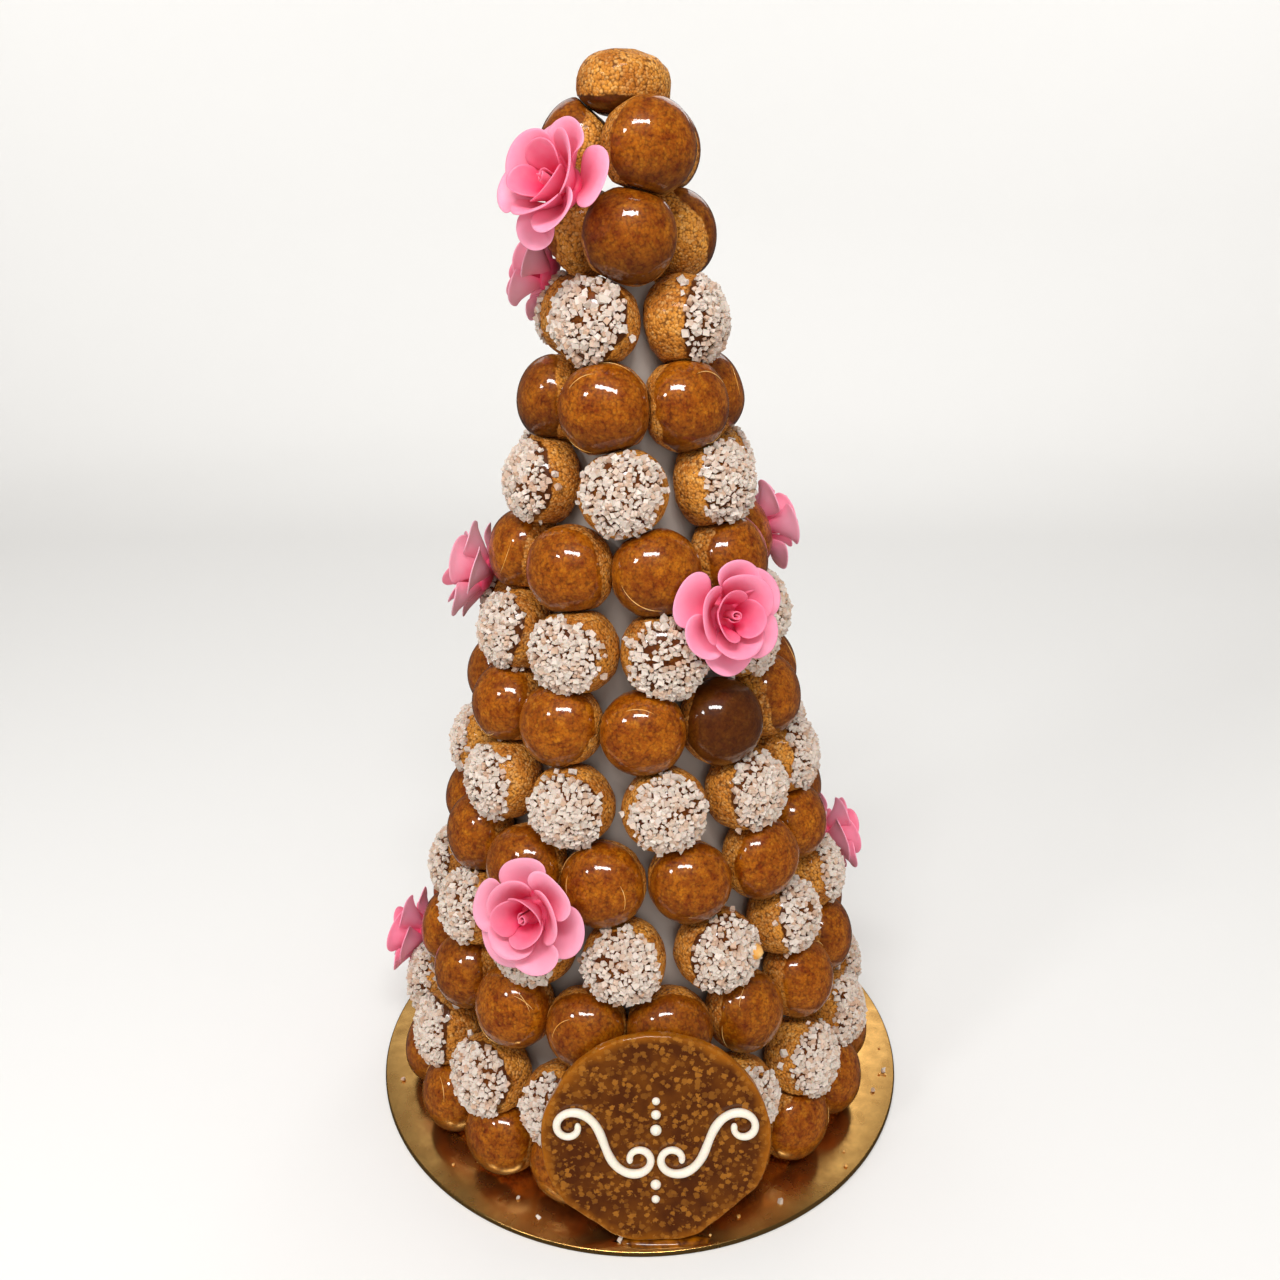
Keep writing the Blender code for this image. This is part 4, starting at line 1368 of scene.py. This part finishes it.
def shape_petal(piece, layer, number, radius, rng):
    """Bends the square grid into one petal, and returns how deep in the flower each point is."""
    count, first, foot, tip, low, high, wrap, spoon, curl, blush = layer
    grid = points_of(piece)
    x, y = grid[:, 0], grid[:, 1]
    across = x * np.sqrt(1 - y**2 / 2)
    along = (y * np.sqrt(1 - x**2 / 2) + 1) / 2
    out = np.sqrt(across**2 + (2 * along - 1) ** 2)
    size = 1 + rng.uniform(-PETAL_SPREAD, PETAL_SPREAD)
    lean = rng.uniform(-PETAL_SPREAD, PETAL_SPREAD)
    widening = (1 - PETAL_FOOT_WIDTH) * np.sin(along * math.pi / 2)
    width = math.radians(wrap) * (PETAL_FOOT_WIDTH + widening) * size
    turn = rng.uniform(-PETAL_TURN_SPREAD, PETAL_TURN_SPREAD)
    turn = math.radians(first + 360 * number / count + turn)
    skew = rng.uniform(-PETAL_SKEW_SPREAD, PETAL_SKEW_SPREAD)
    azimuth = turn + across * width + skew * along
    curled = curl * CURL_STRENGTH * np.clip(out - CURL_START, 0, 1) ** 2 * along
    ripple = rng.uniform(*RIPPLE_HEIGHTS) * along
    ripple = ripple * np.sin(across * rng.uniform(*RIPPLE_COUNTS) + rng.uniform(*WAVE_START))
    reach = foot + (tip - foot) * along**PETAL_REACH_POWER * size + curled * CURL_OUT + ripple
    rise = low + (high - low) * along**PETAL_RISE_POWER + lean * along
    rise = rise + spoon * across**2 * np.sin(along * math.pi) - curled * CURL_DOWN
    points = np.stack([
        radius * reach * np.cos(azimuth), radius * reach * np.sin(azimuth), radius * rise,
    ], axis=1)
    set_points(piece, points)
    return np.clip(blush + (1 - along) ** BLUSH_POWER * FOOT_BLUSH - BLUSH_LOSS, 0, 1)


def make_bud(radius, rng):
    """The rolled petal in the middle of a rose, as a strip that winds inwards."""
    bud = new_primitive(
        bpy.ops.mesh.primitive_grid_add,
        x_subdivisions=BUD_STEPS, y_subdivisions=BUD_CELLS_UP, size=2,
    )
    bpy.ops.object.shade_smooth()
    grid = points_of(bud)
    along = (grid[:, 0] + 1) / 2
    up = (grid[:, 1] + 1) / 2
    azimuth = along * BUD_TURNS * 2 * math.pi + rng.uniform(0, 2 * math.pi)
    out = BUD_RADIUS * (1 - BUD_TIGHTENING * along)
    out = out * (BUD_FOOT_WIDTH + (1 - BUD_FOOT_WIDTH) * up)
    wave = BUD_WAVE * np.sin(azimuth * BUD_WAVE_RATE)
    rise = BUD_FOOT + (BUD_RISE - BUD_FOOT - BUD_OUTER_DROP * (1 - along)) * up + wave * up
    set_points(bud, radius * np.stack([
        out * np.cos(azimuth), out * np.sin(azimuth), rise], axis=1))
    set_attribute(bud, "blush", BUD_BLUSH_FOOT - BUD_BLUSH_FADE * up)
    return bud


def make_pad(radius):
    """The small cushion of paste that the petals are pressed onto."""
    pad = new_primitive(
        bpy.ops.mesh.primitive_uv_sphere_add, segments=24, ring_count=12, radius=1)
    bpy.ops.object.shade_smooth()
    flat = points_of(pad) * radius * np.array([PAD_RADIUS, PAD_RADIUS, PAD_HEIGHT])
    set_points(pad, flat + np.array([0, 0, PAD_MIDDLE * radius]))
    set_attribute(pad, "blush", np.full(len(flat), PAD_BLUSH))
    return pad


def make_roses(sizes, colours):
    """The roses, each of petals in four layers, a rolled bud and a pad."""
    rng = random.Random(SURFACE_SEED + 2)
    paste = rose_paste(colours)
    blank = petal_blank()
    for number, (azimuth, height, diameter, turn, look_up, pale, roll) in enumerate(ROSES, 1):
        radius = diameter * MM / 2
        petals = []
        for layer in PETAL_LAYERS:
            for i in range(layer[0]):
                petal = copy_of(blank, "petal")
                set_attribute(petal, "blush", shape_petal(petal, layer, i, radius, rng))
                petals.append(petal)
        petals.append(make_bud(radius, rng))
        rose = join(petals)
        apply_modifier(rose, "SOLIDIFY", thickness=sizes.petal, offset=0)
        apply_modifier(rose, "SUBSURF", levels=1, render_levels=1)
        rose = join([rose, make_pad(radius)])
        matrix = rose_matrix(azimuth, height, turn, look_up)
        matrix = matrix @ Matrix.Rotation(math.radians(roll), 4, "Z")
        move_points(rose, matrix)
        set_attribute(rose, "pale", np.full(len(rose.data.vertices), pale))
        rose.data.materials.clear()
        rose.data.materials.append(paste)
        finish_piece(rose, f"sugar_rose_{number:02d}", "rose_sugar", f"rose_{number:02d}")
    bpy.data.objects.remove(blank)


def disc_radius(azimuth):
    """The disc's radius at an azimuth: a circle with a few straight breaks, slightly uneven."""
    radius = DISC_RADIUS
    for where, depth in DISC_BREAKS:
        towards = math.cos(azimuth - math.radians(where))
        if towards > 0:
            radius = min(radius, (DISC_RADIUS - depth * MM) / towards)
    for count, size in DISC_WAVES:
        radius += size * MM * (math.sin(count * azimuth + count) - 1)
    return radius


def make_nougatine(sizes, colours):
    """The nougatine disc, cut round with a worn edge."""
    disc = new_primitive(
        bpy.ops.mesh.primitive_cylinder_add, vertices=DISC_SEGMENTS,
        radius=1, depth=DISC_THICKNESS, location=(0, 0, DISC_THICKNESS / 2),
    )
    points = points_of(disc)
    for point in points:
        azimuth = math.atan2(point[1], point[0])
        radius = disc_radius(azimuth)
        point[:2] = radius * math.cos(azimuth), radius * math.sin(azimuth)
    set_points(disc, points)
    apply_modifier(disc, "BEVEL", width=DISC_BEVEL, segments=4, profile=0.6,
                   limit_method="ANGLE", angle_limit=DISC_SHARP_EDGE)
    points = points_of(disc)
    across = disc.data.uv_layers.new(name="across")
    corners = np.array([loop.vertex_index for loop in disc.data.loops])
    across.data.foreach_set("uv", points[corners][:, :2].astype(np.float32).ravel())
    move_points(disc, disc_matrix())
    disc.data.materials.append(nougatine(sizes, colours))
    bpy.ops.object.shade_smooth_by_angle(angle=DISC_SHADING_EDGE)
    finish_piece(disc, "nougatine_slice", "nougatine", "nougatine_disc")


def scroll_points(hand):
    """An Euler spiral: a lying scroll that curls in at both ends, mirrored for one hand."""
    step = SCROLL_CURL / SCROLL_STEPS
    x = y = 0
    half = [Vector((0, 0))]
    for i in range(SCROLL_STEPS):
        turn = SCROLL_TURN + math.pi / 2 * ((i + 0.5) * step) ** 2
        x += math.cos(turn) * step
        y += math.sin(turn) * step
        half.append(Vector((x, y)))
    whole = [-point for point in reversed(half[1:])] + half
    return [
        Vector((hand * (SCROLL_MIDDLE_X + point.x * SCROLL_SIZE), -point.y * SCROLL_SIZE, 0))
        for point in whole
    ]


def make_tube(places, radius, widths, roundness):
    """A round tube along these points, as wide at each as its share of the radius."""
    curve = bpy.data.curves.new("tube", "CURVE")
    curve.dimensions = "3D"
    curve.bevel_depth = radius
    curve.bevel_resolution = roundness
    curve.use_fill_caps = True
    spline = curve.splines.new("POLY")
    spline.points.add(len(places) - 1)
    for point, spot, width in zip(spline.points, places, widths):
        point.co = (*spot, 1)
        point.radius = width
    tube = bpy.data.objects.new("tube", curve)
    bpy.context.scene.collection.objects.link(tube)
    select_only(tube)
    bpy.ops.object.convert(target="MESH")
    tube = bpy.context.object
    bpy.ops.object.shade_smooth()
    return tube


def make_scroll(hand, rng):
    """One piped scroll with round ends, thicker where the bag slowed down."""
    places = scroll_points(hand)
    last = len(places) - 1
    step = SCROLL_CURL / SCROLL_STEPS * SCROLL_SIZE
    shift = rng.uniform(*WAVE_START)
    widths = []
    for i in range(len(places)):
        from_end = min(i, last - i) * step / PIPING_RADIUS
        rounding = math.sqrt(max(0.0, 1 - max(0.0, 1 - from_end) ** 2))
        width = PIPING_THINNEST + (1 - PIPING_THINNEST) * math.sin(math.pi * i / last)
        width += PIPING_UNEVEN * math.sin(i * PIPING_WAVE + shift)
        widths.append(max(PIPING_NARROWEST, width * rounding))
    return make_tube(places, PIPING_RADIUS, widths, PIPING_ROUNDNESS)


def make_dot(radius):
    """One piped dot: a low dome that ends in a small point."""
    dot = new_primitive(
        bpy.ops.mesh.primitive_uv_sphere_add, segments=28, ring_count=16, radius=radius)
    bpy.ops.object.shade_smooth()
    points = points_of(dot)
    high = points[:, 2] > 0
    out = np.hypot(points[:, 0], points[:, 1]) / radius
    peak = DOT_POINT_HEIGHT * radius * np.exp(-((out / DOT_POINT_WIDTH) ** 2))
    dome = points[:, 2] * DOT_DOME + peak
    points[:, 2] = np.where(high, dome, points[:, 2] * DOT_UNDERSIDE)
    set_points(dot, points)
    return dot


def make_icing(colours):
    """Two piped scrolls and five dots, each its own piece."""
    rng = random.Random(SURFACE_SEED + 3)
    icing = royal_icing(colours)
    face = disc_matrix() @ Matrix.Translation((0, 0, DISC_THICKNESS))
    tube_axis = Matrix.Translation((0, 0, PIPING_RISE * PIPING_RADIUS))
    for node, hand in (("icing_scroll_left", -1), ("icing_scroll_right", 1)):
        scroll = make_scroll(hand, rng)
        move_points(scroll, face @ tube_axis)
        scroll.data.materials.append(icing)
        finish_piece(scroll, node.replace("icing", "piped"), "icing", node)
    for number, (up, radius) in enumerate(DOTS, 1):
        dot = make_dot(radius * MM)
        spot = Matrix.Translation((0, up * MM, DOT_UNDERSIDE * radius * MM))
        move_points(dot, face @ spot)
        dot.data.materials.append(icing)
        finish_piece(dot, f"piped_dot_{number}", "icing", f"icing_dot_{number}")


def make_lump(centre, size, rng):
    """An uneven lump of these three half sizes."""
    lump = new_primitive(bpy.ops.mesh.primitive_ico_sphere_add, subdivisions=2, radius=1)
    bpy.ops.object.shade_smooth()
    points = points_of(lump)
    shift = Vector([rng.uniform(*LUMP_SHIFTS) for _ in range(3)])
    swell = [
        1 + LUMP_SWELL * noise.noise(LUMP_RATE * Vector(point) + shift) for point in points
    ]
    set_points(lump, points * np.array(swell)[:, None] * np.array(size) + np.array(centre))
    return lump


def thread_over(bun, rng):
    """A thread of caramel that lies in an arc over a bun's cap."""
    start = rng.uniform(0, 2 * math.pi)
    sweep = rng.uniform(*THREAD_SWEEPS)
    polar = math.radians(rng.uniform(*THREAD_ANGLES))
    drift = math.radians(rng.uniform(*THREAD_DRIFTS))
    steps = np.linspace(0, 1, THREAD_STEPS)
    directions = cap_directions(bun, polar + drift * steps, start + sweep * steps)
    reach = bun_reach(bun, directions)
    places = np.array(bun.centre) + directions * (reach + 0.5 * THREAD_RADIUS)[:, None]
    widths = np.sin(math.pi * (THREAD_TAPER + (1 - 2 * THREAD_TAPER) * steps))
    return make_tube(places, THREAD_RADIUS, widths, THREAD_ROUNDNESS)


def make_pool(caramel, rng):
    """The caramel that has run out and set at the disc's foot."""
    pool = make_lump((*POOL_SPOT, BOARD_THICKNESS), POOL_SIZE, rng)
    points = points_of(pool)
    points[:, 2] = np.maximum(points[:, 2], BOARD_THICKNESS)
    set_points(pool, points)
    pool.data.materials.append(caramel)
    finish_piece(pool, "caramel_pool", "choux_caramel")


def make_threads(buns, caramel, rng):
    """Fine threads over the glazed buns, and one that hangs below a rose."""
    threads = []
    for bun in buns:
        if bun.finish == "caramel" and rng.random() < THREADED_SHARE:
            threads.extend(thread_over(bun, rng) for _ in range(rng.randint(*THREADS_PER_BUN)))
    azimuth, height, _, turn, look_up, _, _ = ROSES[HANGING_ROSE]
    foot = rose_matrix(azimuth, height, turn, look_up).translation
    aside = slope_normal(math.atan2(foot.y, foot.x)) * HANGING_ASIDE
    top = foot + aside - Vector((0, 0, HANGING_DOWN))
    hang = [
        top + Vector((HANGING_SWAY * math.sin(i / 2), 0, -HANGING_STEP * i))
        for i in range(HANGING_POINTS)
    ]
    radius = HANGING_THICKNESS * THREAD_RADIUS
    threads.append(make_tube(hang, radius, [1] * len(hang), THREAD_ROUNDNESS))
    joined = join(threads)
    joined.data.materials.append(caramel)
    finish_piece(joined, "caramel_threads", "choux_caramel")


def make_crumbs(buns, caramel, rng):
    """A golden crumb on a sugared bun, and crumbs fallen on the board."""
    crumbs = []
    for bun in buns:
        if bun.node == CRUMBED_BUN[0] and abs(bun.azimuth() - CRUMBED_BUN[1]) < CRUMB_MATCH:
            way = (bun.cap + CRUMB_ASIDE * bun.side).normalized()
            reach = bun_reach(bun, np.array([way]))[0] + CRUMB_PROUD
            crumbs.append(make_lump(bun.centre + way * reach, (CRUMB_SIZE,) * 3, rng))
    for _ in range(BOARD_CRUMBS):
        azimuth = rng.uniform(*BOARD_CRUMB_AZIMUTHS)
        size = rng.uniform(*BOARD_CRUMB_SIZES) * MM
        spot = place(azimuth, 0, rng.uniform(*BOARD_CRUMB_RADII) * BOARD_RADIUS)
        spot.z = BOARD_THICKNESS + BOARD_CRUMB_RISE * size
        crumbs.append(make_lump(spot, (size, size, BOARD_CRUMB_FLATNESS * size), rng))
    joined = join(crumbs)
    joined.data.materials.append(caramel)
    finish_piece(joined, "caramel_crumbs", "choux_caramel")


def make_caramel_bits(buns, colours):
    """Set caramel beside the pieces: the pool, the threads and the crumbs."""
    rng = random.Random(SURFACE_SEED + 4)
    dark = clear_caramel("pooled_caramel", colours.nougatine_rim, colours.nougatine)
    # Golden caramel for the threads and crumbs; on the threads over the buns its brightness is a
    # painted glint.
    golden = clear_caramel("spun_caramel", colours.crust_pale, colours.crust_gold)
    make_pool(dark, rng)
    make_threads(buns, golden, rng)
    make_crumbs(buns, golden, rng)


def make_studio_floor(colours):
    """A round pale floor that sweeps up into a wall."""
    floor = new_primitive(
        bpy.ops.mesh.primitive_cylinder_add, vertices=STUDIO_SEGMENTS,
        radius=STUDIO_RADIUS, depth=STUDIO_HEIGHT, location=(0, 0, STUDIO_HEIGHT / 2),
    )
    select_vertices(floor, lambda spot: spot.z > STUDIO_HEIGHT / 2)
    bpy.ops.mesh.delete(type="ONLY_FACE")
    select_vertices(floor, lambda spot: spot.z < STUDIO_HEIGHT / 2)
    bpy.ops.mesh.bevel(offset=STUDIO_SWEEP, segments=SWEEP_STEPS, affect="EDGES")
    bpy.ops.mesh.select_all(action="SELECT")
    bpy.ops.mesh.flip_normals()
    bpy.ops.object.mode_set(mode="OBJECT")
    bpy.ops.object.shade_smooth_by_angle(angle=SHARP_EDGE)
    floor.name = "studio_floor"
    material, shader = new_material("matt_paper")
    set_inputs(material, shader, {"Base Color": colours.floor, "Roughness": 0.8})
    floor.data.materials.append(material)
    floor.visible_glossy = False


def make_stage(colours):
    """The floor, soft studio lights and the camera."""
    make_studio_floor(colours)
    world = bpy.data.worlds.new("studio")
    world.use_nodes = True
    ray = add_node(world, "ShaderNodeLightPath")
    strength = add_node(world, "ShaderNodeMath", {
        0: ray.outputs["Is Glossy Ray"], 1: WORLD_MIRRORED - WORLD_LIGHT, 2: WORLD_LIGHT,
    }, operation="MULTIPLY_ADD")
    sky = world.node_tree.nodes["Background"]
    set_inputs(world, sky, {"Color": WORLD_COLOUR, "Strength": strength.outputs[0]})
    bpy.context.scene.world = world

    for name, spot, target, width, height, power, mirrored in LIGHTS:
        light = bpy.data.lights.new(name, "AREA")
        light.shape = "RECTANGLE"
        light.size = width
        light.size_y = height
        light.energy = power
        lamp = bpy.data.objects.new(name, light)
        lamp.location = spot
        aim = Vector(target) - Vector(spot)
        lamp.rotation_euler = aim.to_track_quat("-Z", "Y").to_euler()
        lamp.visible_glossy = mirrored
        bpy.context.scene.collection.objects.link(lamp)

    camera = bpy.data.cameras.new("camera")
    camera.lens = CAMERA_LENS
    camera.sensor_width = CAMERA_SENSOR
    viewer = bpy.data.objects.new("camera", camera)
    viewer.location = CAMERA_PLACE
    viewer.rotation_euler = (math.pi / 2 - CAMERA_DOWN, 0, 0)
    bpy.context.scene.collection.objects.link(viewer)
    bpy.context.scene.camera = viewer
    bpy.context.scene.view_settings.view_transform = "Standard"


def all_buns():
    """The buns with everything that presses on them and what makes each its own."""
    buns = row_buns()
    part_buns(buns)
    rest_buns(buns)
    make_uneven(buns)
    return buns


class CROQUEMBOUCHE_OT_board(bpy.types.Operator):
    """Makes the gold board"""

    bl_idname = "croquembouche.board"
    bl_label = "Gold board"

    def execute(self, context):
        make_board(context.scene.croquembouche_sizes, context.scene.croquembouche_colours)
        return {"FINISHED"}


class CROQUEMBOUCHE_OT_cone(bpy.types.Operator):
    """Makes the sugar cone"""

    bl_idname = "croquembouche.cone"
    bl_label = "Sugar cone"

    def execute(self, context):
        make_cone(context.scene.croquembouche_colours)
        return {"FINISHED"}


class CROQUEMBOUCHE_OT_buns(bpy.types.Operator):
    """Makes every choux bun"""

    bl_idname = "croquembouche.buns"
    bl_label = "Choux buns"

    def execute(self, context):
        sizes = context.scene.croquembouche_sizes
        make_buns(all_buns(), sizes, context.scene.croquembouche_colours)
        return {"FINISHED"}


class CROQUEMBOUCHE_OT_pearl_sugar(bpy.types.Operator):
    """Strews the pearl sugar"""

    bl_idname = "croquembouche.pearl_sugar"
    bl_label = "Pearl sugar"

    def execute(self, context):
        sizes = context.scene.croquembouche_sizes
        make_pearl_sugar(all_buns(), sizes, context.scene.croquembouche_colours)
        return {"FINISHED"}


class CROQUEMBOUCHE_OT_roses(bpy.types.Operator):
    """Makes the sugar roses"""

    bl_idname = "croquembouche.roses"
    bl_label = "Sugar roses"

    def execute(self, context):
        make_roses(context.scene.croquembouche_sizes, context.scene.croquembouche_colours)
        return {"FINISHED"}


class CROQUEMBOUCHE_OT_nougatine(bpy.types.Operator):
    """Makes the nougatine disc"""

    bl_idname = "croquembouche.nougatine"
    bl_label = "Nougatine disc"

    def execute(self, context):
        make_nougatine(context.scene.croquembouche_sizes, context.scene.croquembouche_colours)
        return {"FINISHED"}


class CROQUEMBOUCHE_OT_icing(bpy.types.Operator):
    """Pipes the icing"""

    bl_idname = "croquembouche.icing"
    bl_label = "Piped icing"

    def execute(self, context):
        make_icing(context.scene.croquembouche_colours)
        return {"FINISHED"}


class CROQUEMBOUCHE_OT_caramel_bits(bpy.types.Operator):
    """Makes the set caramel: the pool, the threads and the crumbs"""

    bl_idname = "croquembouche.caramel_bits"
    bl_label = "Caramel bits"

    def execute(self, context):
        make_caramel_bits(all_buns(), context.scene.croquembouche_colours)
        return {"FINISHED"}


class CROQUEMBOUCHE_OT_stage(bpy.types.Operator):
    """Sets up the floor, the lights and the camera"""

    bl_idname = "croquembouche.stage"
    bl_label = "Studio"

    def execute(self, context):
        make_stage(context.scene.croquembouche_colours)
        return {"FINISHED"}


OPERATORS = (
    CROQUEMBOUCHE_OT_stage,
    CROQUEMBOUCHE_OT_board,
    CROQUEMBOUCHE_OT_cone,
    CROQUEMBOUCHE_OT_buns,
    CROQUEMBOUCHE_OT_pearl_sugar,
    CROQUEMBOUCHE_OT_roses,
    CROQUEMBOUCHE_OT_nougatine,
    CROQUEMBOUCHE_OT_icing,
    CROQUEMBOUCHE_OT_caramel_bits,
)


class CROQUEMBOUCHE_PT_panel(bpy.types.Panel):
    """The pieces, sizes and colours of the croquembouche"""

    bl_label = "Croquembouche"
    bl_idname = "CROQUEMBOUCHE_PT_panel"
    bl_space_type = "VIEW_3D"
    bl_region_type = "UI"
    bl_category = "Croquembouche"

    def draw(self, context):
        for operator in OPERATORS:
            self.layout.operator(operator.bl_idname)
        for group in (context.scene.croquembouche_sizes, context.scene.croquembouche_colours):
            box = self.layout.box()
            for name in group.__annotations__:
                box.prop(group, name)


CLASSES = (CroquemboucheSizes, CroquemboucheColours, *OPERATORS, CROQUEMBOUCHE_PT_panel)


def register():
    """Registers the classes, and gives every scene its sizes and colours."""
    for cls in CLASSES:
        bpy.utils.register_class(cls)
    bpy.types.Scene.croquembouche_sizes = PointerProperty(type=CroquemboucheSizes)
    bpy.types.Scene.croquembouche_colours = PointerProperty(type=CroquemboucheColours)


def unregister():
    """Takes back what register did."""
    del bpy.types.Scene.croquembouche_colours
    del bpy.types.Scene.croquembouche_sizes
    for cls in reversed(CLASSES):
        bpy.utils.unregister_class(cls)


def main():
    """Makes every piece in order."""
    register()
    for operator in OPERATORS:
        group, name = operator.bl_idname.split(".")
        getattr(getattr(bpy.ops, group), name)()


if __name__ == "__main__":
    main()
